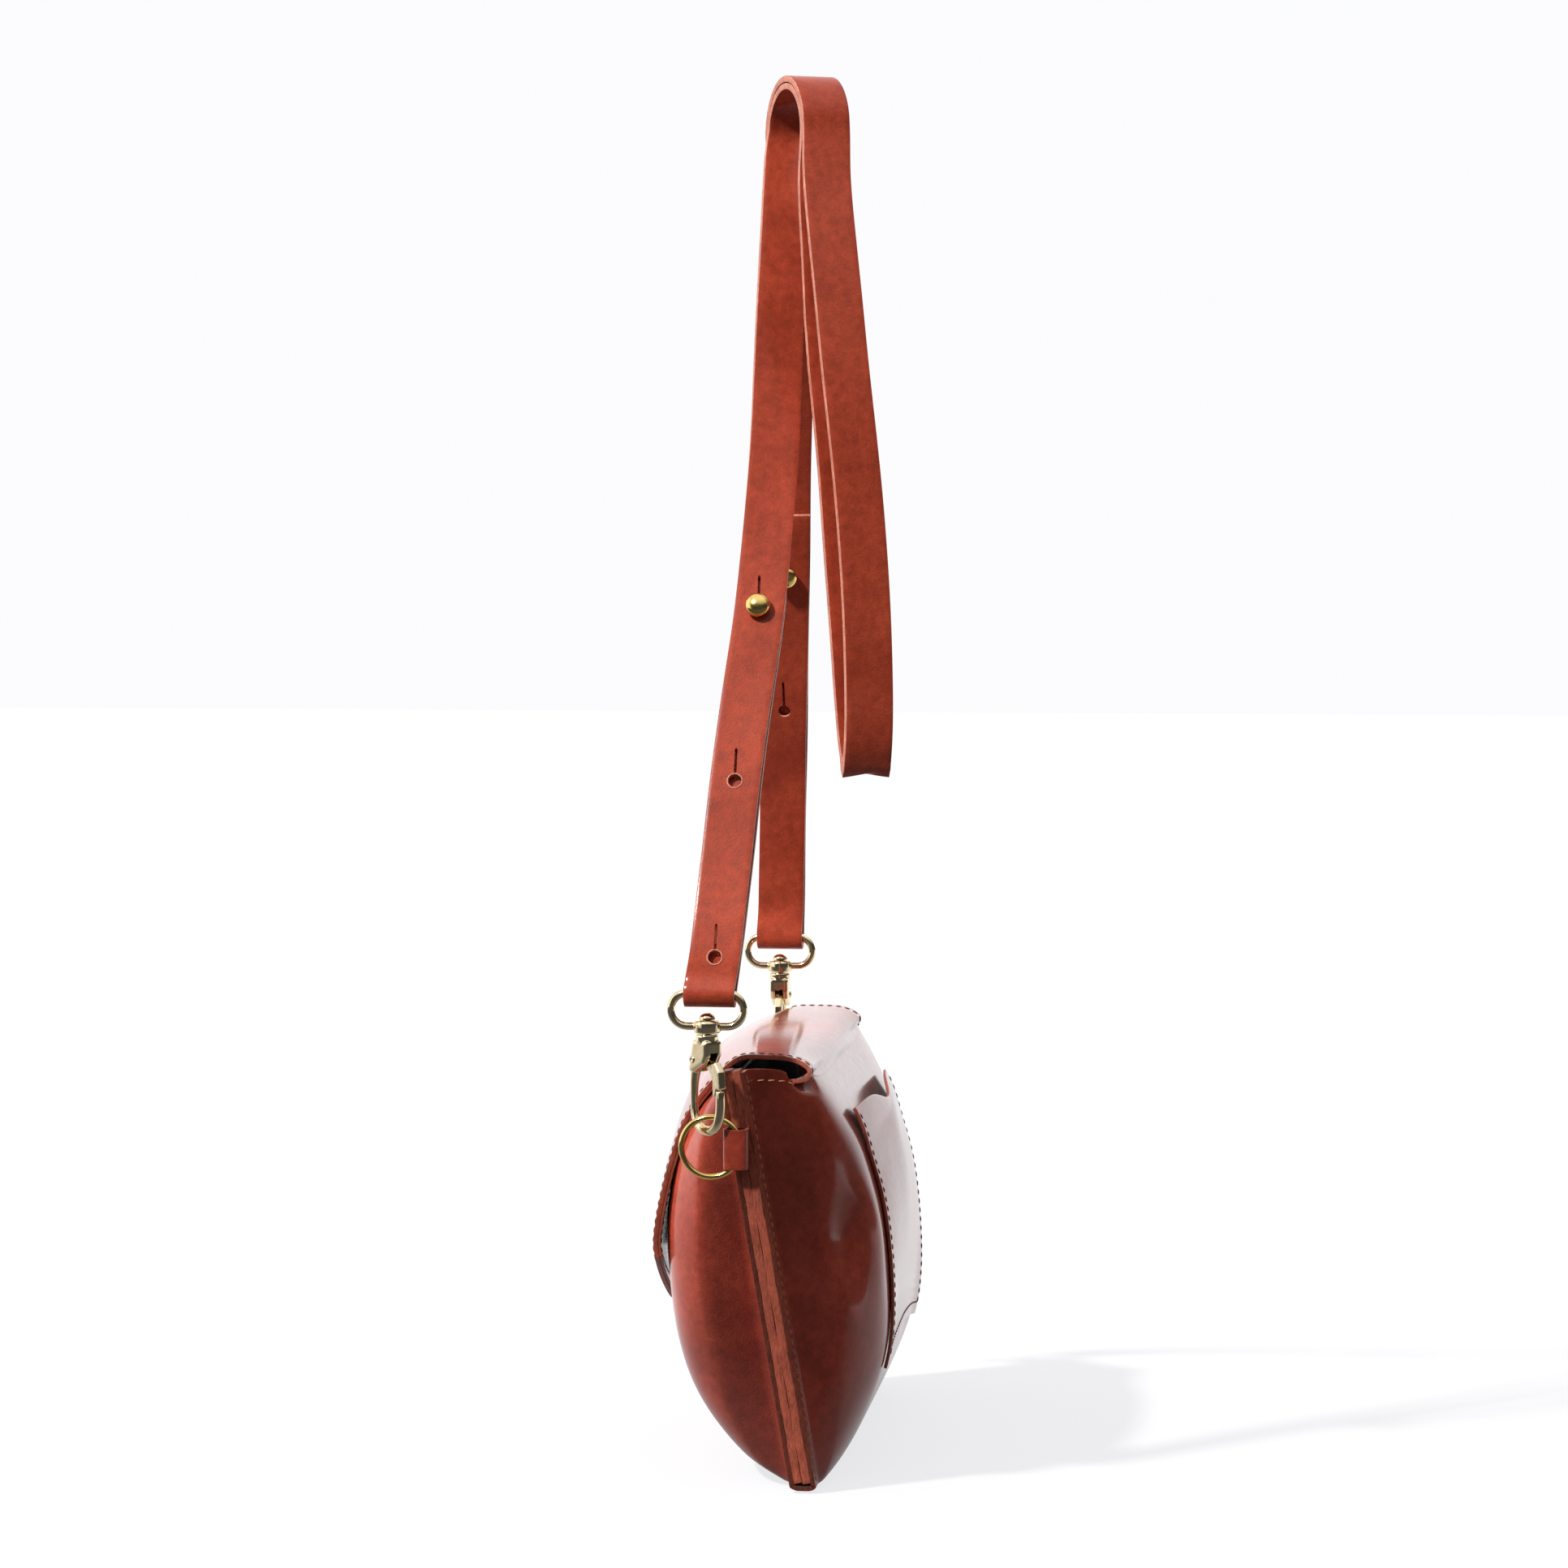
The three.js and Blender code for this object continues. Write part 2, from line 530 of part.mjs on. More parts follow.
function studFrame({ leg, z, sign }) {
  const curve = new THREE.CatmullRomCurve3(leg.map(toVector), false, 'centripetal');
  let best = 0;
  for (let i = 0; i <= 400; i += 1) {
    if (Math.abs(curve.getPointAt(i / 400).z - z) < Math.abs(curve.getPointAt(best).z - z)) best = i / 400;
  }
  const along = curve.getTangentAt(best);
  const outward = new THREE.Vector3(Math.abs(along.z) * sign, 0, Math.abs(along.x)).normalize();
  const middle = curve.getPointAt(best).addScaledVector(outward, -TONGUE_GAP / 2);
  return { middle, outward };
}

function makeStrap() {
  const { geometry, total } = strapGeometry();
  const stack = STRAP.thick * 2 + 0.5;
  const half = stack / 2 + 1.5 * GAP;
  const holes = [];
  for (const [end, spec] of Object.entries(STUDS)) {
    const { middle, outward } = studFrame(spec);
    const direction = outward.clone().multiplyScalar(spec.headOut);
    const turn = new THREE.Quaternion().setFromUnitVectors(new THREE.Vector3(0, 1, 0), direction);
    const place = new THREE.Matrix4().compose(middle, turn, new THREE.Vector3(1, 1, 1));
    const head = lathe([[0, -half - 0.1], [1.9, -half - 0.1], [1.9, half], [2.6, half], [4.6, half + 1.1], [5, half + 2.4],
      [4.2, half + 4], [2.3, half + 4.9], [0, half + 5.2]]);
    addBrass(`stud_${end}`, head.applyMatrix4(place));
    const base = lathe([[0, -half - 1.9], [4.4, -half - 1.6], [4.5, -half - 0.4], [0, -half - 0.4]]);
    addBrass(`stud_base_${end}`, base.applyMatrix4(place));
    holes.push(new THREE.CylinderGeometry(2.5, 2.5, 11, 12).applyMatrix4(place));
  }
  addLeather('strap', cut(geometry, ...holes));
  return total;
}

// ---- assembly -----------------------------------------------------------------------------------
makeBody();
makeWelts();
makeFlap();
makePocket();
makeMagnets();
for (const [end, sign] of [['right', 1], ['left', -1]]) {
  makeTabAndRing(end, sign);
  makeClasp(end, sign);
}
makeStrap();

export default model;
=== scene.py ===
# %% [markdown]
# # A small leather shoulder bag
# The bag is one sheet of glossy chestnut hide, folded at the bottom, pinched flat and sewn at both ends,
# with a flap that folds over the front. It hangs by its own strap, which is doubled over a rod.
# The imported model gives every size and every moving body; this script makes the surfaces that are seen.

import json
import math

import bpy
import numpy as np
from mathutils import Matrix, Vector

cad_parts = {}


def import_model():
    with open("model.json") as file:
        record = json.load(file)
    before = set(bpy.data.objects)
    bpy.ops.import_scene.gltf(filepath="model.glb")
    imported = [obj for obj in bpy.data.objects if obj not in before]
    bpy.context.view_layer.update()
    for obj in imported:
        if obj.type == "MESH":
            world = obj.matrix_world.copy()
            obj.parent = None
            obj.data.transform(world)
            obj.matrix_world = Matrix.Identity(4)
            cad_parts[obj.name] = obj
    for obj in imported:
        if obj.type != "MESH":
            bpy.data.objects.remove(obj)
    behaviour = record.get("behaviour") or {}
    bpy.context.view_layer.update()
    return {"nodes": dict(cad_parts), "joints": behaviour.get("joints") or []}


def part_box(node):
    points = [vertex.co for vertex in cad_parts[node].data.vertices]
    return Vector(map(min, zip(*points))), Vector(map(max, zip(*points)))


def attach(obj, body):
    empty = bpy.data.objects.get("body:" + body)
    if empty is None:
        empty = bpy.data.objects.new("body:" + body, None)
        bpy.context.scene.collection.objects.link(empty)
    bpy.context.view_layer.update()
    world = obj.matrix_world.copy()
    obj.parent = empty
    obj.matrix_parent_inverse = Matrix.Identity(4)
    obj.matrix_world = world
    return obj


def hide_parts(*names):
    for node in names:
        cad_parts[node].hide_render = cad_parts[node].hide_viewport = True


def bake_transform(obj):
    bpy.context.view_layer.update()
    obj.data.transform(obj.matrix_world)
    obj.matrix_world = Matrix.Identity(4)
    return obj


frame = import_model()
joints = {joint["name"]: joint for joint in frame["joints"]}

# %% [markdown]
# ## Measures
# Everything below is written in millimetres from the bag's own zero: the middle of its bottom fold.
# X runs along the bag, the flap hangs on the -Y side, and Z points up. The zero comes from the shell's box.

# %% Where the bag's own zero lies
MM = 0.001
FRONT_DEPTH = 62.3
shell_low, shell_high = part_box("body_wrap")
HALF_LENGTH = (shell_high.x - shell_low.x) / 2 / MM
ZERO = np.array([(shell_low.x + shell_high.x) / 2, shell_low.y + FRONT_DEPTH * MM, shell_low.z])
ENDS = (("right", 1), ("left", -1))


def world(points):
    """Millimetres from the bag's zero, as metres in the model's frame."""
    return np.asarray(points, float) * MM + ZERO


def local(point):
    """The other way round: a point of the model as millimetres from the bag's zero."""
    return (np.asarray(point, float) - ZERO) / MM


# %% [markdown]
# ## Camera
# The camera looks along the bag from its right-hand end, a little from the back and a little from above,
# from 1.7 m away with a long lens, so the near clasp is only slightly larger than the far one.

# %% The camera
CAMERA_TURN = math.radians(6.8)
CAMERA_PITCH = math.radians(3.4)
CAMERA_PLACE = (1846.6, 198.8, 383.8)
FOCAL_LENGTH = 102.3

bpy.ops.object.camera_add(location=tuple(world(CAMERA_PLACE)))
camera = bpy.context.object
camera.name = "camera"
camera.data.lens = FOCAL_LENGTH
camera.data.sensor_width = 36
looking = Vector((-math.cos(CAMERA_TURN) * math.cos(CAMERA_PITCH),
                  -math.sin(CAMERA_TURN) * math.cos(CAMERA_PITCH), -math.sin(CAMERA_PITCH)))
camera.rotation_euler = looking.to_track_quat("-Z", "Y").to_euler()
bpy.context.scene.camera = camera

# %% [markdown]
# ## Small tools
# Leather goods are sheets of even thickness, so most pieces start as a grid that a shape function lays out.
# The Solidify modifier then gives the thickness, with its own material slots for the flesh side and for the
# cut edge, and the Bevel modifier rounds that edge as a bevelling tool would.


# %% Selecting, applying and finishing
def alone(piece):
    bpy.ops.object.select_all(action="DESELECT")
    piece.select_set(True)
    bpy.context.view_layer.objects.active = piece


def apply_modifier(piece, kind, **settings):
    alone(piece)
    modifier = piece.modifiers.new(kind.title(), kind)
    for key, value in settings.items():
        setattr(modifier, key, value)
    bpy.ops.object.modifier_apply(modifier=modifier.name)


def settle(piece):
    """Puts the piece's place into its mesh, with its object at the origin."""
    alone(piece)
    bpy.ops.object.transform_apply(location=True, rotation=True, scale=True)


def faces_outward(piece):
    alone(piece)
    bpy.ops.object.mode_set(mode="EDIT")
    bpy.ops.mesh.select_all(action="SELECT")
    bpy.ops.mesh.remove_doubles(threshold=1e-6)
    bpy.ops.mesh.normals_make_consistent(inside=False)
    bpy.ops.object.mode_set(mode="OBJECT")


def smooth_shading(piece, degrees=40):
    alone(piece)
    bpy.ops.object.shade_smooth_by_angle(angle=math.radians(degrees))


def dress(piece, *materials):
    piece.data.materials.clear()
    for material in materials:
        piece.data.materials.append(material)


def unite(name, pieces):
    bpy.ops.object.select_all(action="DESELECT")
    for piece in pieces:
        piece.select_set(True)
    bpy.context.view_layer.objects.active = pieces[0]
    bpy.ops.object.join()
    pieces[0].name = name
    return pieces[0]


def smooth_step(t):
    t = np.clip(t, 0, 1)
    return t * t * (3 - 2 * t)


def through(points, count):
    """A smooth curve through the points, one even stretch of parameter between each two of them."""
    p = np.asarray(points, float)
    padded = np.vstack([2 * p[0] - p[1], p, 2 * p[-1] - p[-2]])
    s = np.linspace(0, len(p) - 1, count)
    i = np.minimum(s.astype(int), len(p) - 2)
    t = (s - i)[:, None]
    a, b, c, d = (padded[i + k] for k in range(4))
    return b + 0.5 * t * (c - a + t * (2 * a - 5 * b + 4 * c - d + t * (3 * (b - c) + d - a)))


# %% A grid laid out by a shape function
def laid_grid(name, columns, rows, shape):
    """shape(u, v) takes two arrays from 0 to 1 and returns millimetre points, one row for each."""
    bpy.ops.mesh.primitive_grid_add(x_subdivisions=columns, y_subdivisions=rows, size=2)
    piece = bpy.context.object
    piece.name = name
    flat = np.empty(len(piece.data.vertices) * 3)
    piece.data.vertices.foreach_get("co", flat)
    flat = flat.reshape(-1, 3)
    uv = piece.data.uv_layers.new(name="hide") if not piece.data.uv_layers else piece.data.uv_layers[0]
    uv.name = "hide"
    placed = world(shape((flat[:, 0] + 1) / 2, (flat[:, 1] + 1) / 2))
    piece.data.vertices.foreach_set("co", placed.ravel())
    piece.data.update()
    return piece


def thicken(piece, thickness, flip=False, round_edge=0.35):
    """Leather thickness on the inner side: slot 0 is the grain side, 1 the flesh side, 2 the cut edge."""
    alone(piece)
    if flip:
        bpy.ops.object.mode_set(mode="EDIT")
        bpy.ops.mesh.select_all(action="SELECT")
        bpy.ops.mesh.flip_normals()
        bpy.ops.object.mode_set(mode="OBJECT")
    apply_modifier(piece, "SOLIDIFY", thickness=thickness * MM, offset=-1, material_offset=1,
                   material_offset_rim=2, use_quality_normals=True)
    apply_modifier(piece, "BEVEL", width=round_edge * MM, segments=2, limit_method="ANGLE",
                   angle_limit=math.radians(50), use_clamp_overlap=True)
    smooth_shading(piece, 50)
    return piece


# %% [markdown]
# ## Finishes
# Each finish is built from noise on Object coordinates, in metres, so a scale of 1000 is a pattern of one
# millimetre. The hide has cloudy dye, a fine pebbled grain with painted shade in its hollows, and faint
# scuffs under a glossy top coat. The cut edges are paler and fibrous. The flesh side is almost black and
# fuzzy. The hardware is plated and polished: rings and studs a full yellow gold, the clasps a paler one.


# %% Node helpers
def new_material(name):
    material = bpy.data.materials.new(name)
    material.use_nodes = True
    nodes = material.node_tree.nodes
    shader = nodes["Principled BSDF"]
    coordinates = nodes.new("ShaderNodeTexCoord")
    return material, nodes, material.node_tree.links, shader, coordinates.outputs["Object"]


def noise(nodes, links, vector, scale, detail=4.0, roughness=0.55, distortion=0.0):
    node = nodes.new("ShaderNodeTexNoise")
    node.inputs["Scale"].default_value = scale
    node.inputs["Detail"].default_value = detail
    node.inputs["Roughness"].default_value = roughness
    node.inputs["Distortion"].default_value = distortion
    links.new(vector, node.inputs["Vector"])
    return node.outputs["Fac"]


def stretched(nodes, links, vector, scale):
    node = nodes.new("ShaderNodeMapping")
    node.inputs["Scale"].default_value = scale
    links.new(vector, node.inputs["Vector"])
    return node.outputs["Vector"]


def ramp(nodes, links, value, stops):
    node = nodes.new("ShaderNodeValToRGB")
    elements = node.color_ramp.elements
    while len(elements) < len(stops):
        elements.new(0.5)
    for element, (place, colour) in zip(elements, stops):
        element.position = place
        element.color = (*colour, 1)
    links.new(value, node.inputs["Fac"])
    return node.outputs["Color"]


def remap(nodes, links, value, low, high, out_low, out_high):
    node = nodes.new("ShaderNodeMapRange")
    for key, number in zip(("From Min", "From Max", "To Min", "To Max"), (low, high, out_low, out_high)):
        node.inputs[key].default_value = number
    links.new(value, node.inputs["Value"])
    return node.outputs["Result"]


def blend_colour(nodes, links, kind, factor, first, second):
    node = nodes.new("ShaderNodeMix")
    node.data_type = "RGBA"
    node.blend_type = kind
    for socket, value in ((node.inputs[0], factor), (node.inputs[6], first), (node.inputs[7], second)):
        if isinstance(value, bpy.types.NodeSocket):
            links.new(value, socket)
        elif isinstance(value, (int, float)):
            socket.default_value = value
        else:
            socket.default_value = (*value, 1)
    return node.outputs[2]


def add_heights(nodes, links, *terms):
    """A weighted sum of height fields: each term is a socket and its weight."""
    total = None
    for socket, weight in terms:
        node = nodes.new("ShaderNodeMath")
        node.operation = "MULTIPLY_ADD"
        links.new(socket, node.inputs[0])
        node.inputs[1].default_value = weight
        if total is not None:
            links.new(total, node.inputs[2])
        else:
            node.inputs[2].default_value = 0
        total = node.outputs[0]
    return total


def bump(nodes, links, shader, height, distance, strength=1.0):
    node = nodes.new("ShaderNodeBump")
    node.inputs["Distance"].default_value = distance
    node.inputs["Strength"].default_value = strength
    links.new(height, node.inputs["Height"])
    links.new(node.outputs["Normal"], shader.inputs["Normal"])


# %% Leather, grain side
def grain_leather(name, dark, middle, light, gloss, pebble, coat):
    material, nodes, links, shader, place = new_material(name)
    clouds = noise(nodes, links, place, 22, 5, 0.6, 0.6)
    mottle = noise(nodes, links, place, 260, 4, 0.6)
    base = ramp(nodes, links, clouds, [(0.30, dark), (0.52, middle), (0.74, light)])
    speck = ramp(nodes, links, mottle, [(0.30, (0.72, 0.70, 0.70)), (0.70, (1.18, 1.16, 1.12))])
    colour = blend_colour(nodes, links, "MULTIPLY", 0.75, base, speck)
    cells = nodes.new("ShaderNodeTexVoronoi")
    cells.feature = "SMOOTH_F1"
    cells.inputs["Scale"].default_value = 1150
    cells.inputs["Smoothness"].default_value = 0.45
    warp = noise(nodes, links, place, 500, 3, 0.5)
    wander = nodes.new("ShaderNodeVectorMath")
    wander.operation = "MULTIPLY_ADD"
    links.new(warp, wander.inputs[0])
    wander.inputs[1].default_value = (0.0009, 0.0009, 0.0009)
    links.new(place, wander.inputs[2])
    links.new(wander.outputs[0], cells.inputs["Vector"])
    creases = noise(nodes, links, stretched(nodes, links, place, (1, 1, 2.6)), 210, 5, 0.7, 1.4)
    pores = noise(nodes, links, place, 2600, 2, 0.5)
    height = add_heights(nodes, links, (cells.outputs["Distance"], pebble), (creases, 0.55), (pores, 0.18))
    bump(nodes, links, shader, height, 0.00016, 0.55)
    # Painted shade: the hide's colour is darkened where the grain's bump is low, in its hollows, and
    # lightened a little on its ridges.
    grain_hollow_shade = remap(nodes, links, cells.outputs["Distance"], 0.1, 0.7, 0.90, 1.06)
    painted_grain_shade = nodes.new("ShaderNodeCombineColor")
    for channel in painted_grain_shade.inputs:
        links.new(grain_hollow_shade, channel)
    links.new(blend_colour(nodes, links, "MULTIPLY", 0.8, colour, painted_grain_shade.outputs[0]),
              shader.inputs["Base Color"])
    links.new(remap(nodes, links, mottle, 0.25, 0.75, gloss, gloss + 0.16), shader.inputs["Roughness"])
    shader.inputs["Specular IOR Level"].default_value = 0.12
    shader.inputs["Coat Weight"].default_value = coat
    shader.inputs["Coat Roughness"].default_value = 0.11
    shader.inputs["Coat IOR"].default_value = 1.48
    return material


body_hide = grain_leather("chestnut hide", (0.200, 0.027, 0.014), (0.310, 0.043, 0.022),
                          (0.400, 0.062, 0.032), 0.30, 0.4, 0.9)
strap_hide = grain_leather("strap hide", (0.300, 0.040, 0.018), (0.390, 0.056, 0.026),
                           (0.470, 0.076, 0.036), 0.42, 0.7, 0.3)


# %% Leather, cut edge and flesh side
def cut_edge(name, dark, light):
    material, nodes, links, shader, place = new_material(name)
    layers = noise(nodes, links, stretched(nodes, links, place, (1, 1, 0.25)), 1500, 5, 0.7, 0.8)
    patches = noise(nodes, links, place, 90, 3)
    colour = ramp(nodes, links, layers, [(0.32, dark), (0.66, light)])
    tint = ramp(nodes, links, patches, [(0.35, (0.80, 0.76, 0.74)), (0.65, (1.12, 1.12, 1.10))])
    links.new(blend_colour(nodes, links, "MULTIPLY", 0.8, colour, tint), shader.inputs["Base Color"])
    fibres = noise(nodes, links, place, 2800, 3)
    bump(nodes, links, shader, add_heights(nodes, links, (layers, 0.7), (fibres, 0.35)), 0.0002, 0.8)
    shader.inputs["Roughness"].default_value = 0.62
    shader.inputs["Coat Weight"].default_value = 0.08
    return material


body_edge = cut_edge("dyed cut edge", (0.150, 0.022, 0.010), (0.420, 0.085, 0.040))
strap_edge = cut_edge("pale cut edge", (0.420, 0.120, 0.075), (0.760, 0.330, 0.235))


def flesh_side():
    material, nodes, links, shader, place = new_material("dark flesh side")
    nap = noise(nodes, links, place, 1800, 6, 0.75)
    links.new(ramp(nodes, links, nap, [(0.3, (0.008, 0.006, 0.006)), (0.75, (0.045, 0.034, 0.032))]),
              shader.inputs["Base Color"])
    bump(nodes, links, shader, nap, 0.0004, 0.9)
    shader.inputs["Roughness"].default_value = 0.95
    shader.inputs["Sheen Weight"].default_value = 0.35
    shader.inputs["Sheen Roughness"].default_value = 0.5
    return material


flesh = flesh_side()


# %% Thread
def waxed_thread(name, dark, light):
    material, nodes, links, shader, place = new_material(name)
    twist = noise(nodes, links, place, 3400, 2)
    links.new(ramp(nodes, links, twist, [(0.35, dark), (0.65, light)]), shader.inputs["Base Color"])
    bump(nodes, links, shader, twist, 0.00012, 0.8)
    shader.inputs["Roughness"].default_value = 0.6
    return material


tan_thread = waxed_thread("tan thread", (0.300, 0.095, 0.040), (0.560, 0.240, 0.110))
dark_thread = waxed_thread("dark thread", (0.060, 0.014, 0.008), (0.210, 0.060, 0.028))


# %% Plated metal
def plated(name, colour, tarnish, roughness):
    material, nodes, links, shader, place = new_material(name)
    film = noise(nodes, links, place, 160, 4, 0.6)
    links.new(ramp(nodes, links, film, [(0.35, tarnish), (0.6, colour)]), shader.inputs["Base Color"])
    scratches = noise(nodes, links, stretched(nodes, links, place, (1, 1, 0.12)), 5200, 3, 0.6)
    links.new(remap(nodes, links, scratches, 0.3, 0.7, roughness, roughness + 0.09),
              shader.inputs["Roughness"])
    casting = noise(nodes, links, place, 420, 2)
    bump(nodes, links, shader, add_heights(nodes, links, (casting, 1.0), (scratches, 0.05)), 0.00005, 0.5)
    shader.inputs["Metallic"].default_value = 1.0
    return material


gold = plated("yellow gold plate", (0.90, 0.66, 0.22), (0.80, 0.55, 0.17), 0.09)
pale_gold = plated("pale gold plate", (0.94, 0.79, 0.52), (0.84, 0.68, 0.42), 0.07)
steel = plated("spring steel", (0.62, 0.62, 0.63), (0.50, 0.50, 0.52), 0.25)


def pressed_cover():
    material, nodes, links, shader, place = new_material("covered magnet")
    nap = noise(nodes, links, place, 900, 5, 0.6)
    links.new(ramp(nodes, links, nap, [(0.3, (0.030, 0.011, 0.008)), (0.7, (0.080, 0.026, 0.017))]),
              shader.inputs["Base Color"])
    bump(nodes, links, shader, nap, 0.0002, 0.5)
    shader.inputs["Roughness"].default_value = 0.55
    return material


magnet_cover = pressed_cover()
print("materials:", [m.name for m in bpy.data.materials])

# %% [markdown]
# ## The shell
# Front, bottom and back are one sheet. In the middle its section is a wide pocket shape; at the ends both
# walls come together into a flat sewn margin. A point of the sheet is found from where it sits along the
# bag, x, and along the section, s, which runs from the front mouth down, under and up to the back fold.

# %% The shell's section and how it fills out
FRONT_WALL = [(-36.5, 157), (-47.5, 147), (-56.8, 130), (-61.8, 108), (-62.3, 86), (-58.2, 53), (-49, 29),
              (-32, 9.5), (-15, 1.6), (-5, 0)]
BACK_WALL = [(4, 0), (10.5, 4.5), (18.5, 19), (25.3, 39), (28.6, 62), (29.0, 86), (26.0, 110),
             (19, 132), (10.4, 148), (3, 160)]
SECTION_STEPS = len(FRONT_WALL) + len(BACK_WALL) - 1
SECTION = through(FRONT_WALL + BACK_WALL, 20 * SECTION_STEPS + 1)
LEATHER = 1.8
SEAM_SLOPE, SEAM_TOP, MOUTH_HEIGHT = -0.172, 166.4, 160.0
STACK = 10.5
FLANGE_WIDTH = 9.0
PINCH = HALF_LENGTH - FLANGE_WIDTH


def fullness(x, z, back):
    """0 in the sewn margins, 1 in the middle. Near the back fold the bag fills out at once."""
    reach = np.clip(np.abs(x) / PINCH, 0, 1)
    top = smooth_step((z - 118) / 42) * back
    swell = np.sqrt(1 - reach ** (6 + 4 * top))
    return swell * smooth_step((PINCH - np.abs(x)) / 7) ** 0.35


def hollows(x, z, back):
    """Where soft leather is pushed in: a dent beside each end seam, and a long slack fold above it."""
    near = np.abs(x)
    tilt = np.where(x > 0, 0.0, 9.0)
    dent = 7.0 * np.exp(-((near - 93) / 8) ** 2 - ((z - 96 - tilt) / 19) ** 2)
    fold = 4.0 * np.exp(-((near - 102) / 4) ** 2 - ((z - 118 - tilt) / 36) ** 2)
    ridge = 2.2 * np.exp(-((near - 70) / 16) ** 2 - ((z - 52) / 26) ** 2)
    ridge = ridge + 1.8 * np.exp(-((near - 78) / 9) ** 2 - ((z - 97) / 22) ** 2)
    front = 2.4 * np.exp(-((near - 96) / 8) ** 2 - ((z - 112 + tilt) / 30) ** 2)
    return np.where(back > 0.5, ridge - dent - fold, front)


def shell(x, s):
    """Millimetre points of the shell's outer surface."""
    x, s = np.broadcast_arrays(np.asarray(x, float), np.asarray(s, float))
    along = np.clip(s, 0, 1) * (len(SECTION) - 1)
    y = np.interp(along, np.arange(len(SECTION)), SECTION[:, 0])
    z = np.interp(along, np.arange(len(SECTION)), SECTION[:, 1])
    side = np.clip((s * SECTION_STEPS - 9.5) * 2, -1, 1)
    back = (side > 0).astype(float)
    seam_z = np.maximum(z, 0) * SEAM_TOP / MOUTH_HEIGHT
    half = STACK / 2 * np.minimum(1, np.sqrt(seam_z / 3) + 0.35)
    seam_y = SEAM_SLOPE * seam_z + side * half
    f = fullness(x, z, back)
    near = np.abs(x)
    lip = smooth_step((near - 88) / 10) * (1 - smooth_step((near - 98.3) / 3))
    lip = lip * smooth_step((z - 151) / 9) * back
    top = smooth_step((z - 118) / 42) * back
    y = seam_y + (y - seam_y) * f + hollows(x, z, back) * np.sqrt(np.clip(f, 0, 1)) - 3.2 * lip
    z = seam_z + (z - seam_z) * f ** (1 + 2.5 * top) - 4.4 * lip
    return np.stack([x, y, z], axis=-1)


def back_step(step):
    """The place along the section of the back wall's control point number step."""
    return (len(FRONT_WALL) + np.asarray(step, float)) / SECTION_STEPS


def outward(surface, a, b, da=0.4, db=0.003):
    """Unit normals of surface(a, b), by small steps; a runs along the bag."""
    across = surface(a + da, b) - surface(a - da, b)
    up = surface(a, b + db) - surface(a, b - db)
    normal = np.cross(across, up)
    return normal / np.maximum(np.linalg.norm(normal, axis=-1, keepdims=True), 1e-9)


def shell_layout(u, v):
    t = 1 - 2 * u
    return shell(HALF_LENGTH * (0.55 * t + 0.45 * np.sin(t * math.pi / 2)), v)


bag_shell = laid_grid("bag_shell", 168, 150, shell_layout)
dress(bag_shell, body_hide, flesh, body_edge)
thicken(bag_shell, LEATHER)
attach(bag_shell, "bag")
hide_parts("body_wrap")
print("shell:", len(bag_shell.data.polygons), "faces")

# %% [markdown]
# ## The sewn ends
# Two welt strips lie between the walls at each end and stiffen it. Their cut edges show as layers.

# %% Welts
WELT_BOTTOM = 2.6
WELT_WIDTH = 8.4
WELT_THICKNESS = STACK / 2 - LEATHER - 0.12


def welt(end, sign, face, outer_y):
    def layout(u, v):
        z = WELT_BOTTOM + (SEAM_TOP - WELT_BOTTOM) * v
        ripple = 0.12 * np.sin(z * 0.21 + outer_y) + 0.06 * np.sin(z * 0.67)
        x = sign * (HALF_LENGTH - WELT_WIDTH * (1 - u) - 0.15 + 0.10 * np.sin(z * 0.35 + outer_y))
        return np.stack([x, SEAM_SLOPE * z + outer_y + ripple, z], axis=-1)

    strip = laid_grid(f"welt_{face}_{end}", 4, 90, layout)
    dress(strip, body_edge, body_edge, body_edge)
    thicken(strip, WELT_THICKNESS, flip=sign < 0, round_edge=0.16)
    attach(strip, "bag")
    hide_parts(f"side_welt_{face}_{end}")


for end, sign in ENDS:
    welt(end, sign, "front", -0.04 - WELT_THICKNESS)
    welt(end, sign, "back", 0.04)

# %% [markdown]
# ## The flap
# The flap carries on from the back fold, runs flat over the top and hangs in front, with straight sides
# that draw in a little and a blunt point at the bottom.

# %% Flap
FLAP_MIDDLE = [(3, 160), (1.7, 163.2), (-1.0, 166.6), (-6.5, 169.4), (-19, 171.2), (-35, 170.8), (-47.5, 164),
               (-57, 149), (-63.5, 129), (-67.6, 108), (-69.8, 90), (-69.8, 72), (-68.6, 56)]
FLAP_SIDE = [(-7.0, 159.0), (-0.4, 160.4), (1.0, 165.4), (-5.5, 169.6), (-17, 170.6), (-29.5, 169.2),
             (-41.5, 158), (-51.6, 144), (-58.4, 126), (-62.6, 110), (-64.6, 99), (-65, 93), (-64.4, 88)]
FLAP_HALF_WIDTH, FLAP_CORNER_HALF_WIDTH = 98.0, 80.0
flap_middle = through(FLAP_MIDDLE, 601)
flap_side = through(FLAP_SIDE, 601)


def flap_half(t):
    return FLAP_HALF_WIDTH + (FLAP_CORNER_HALF_WIDTH - FLAP_HALF_WIDTH) * smooth_step(t)


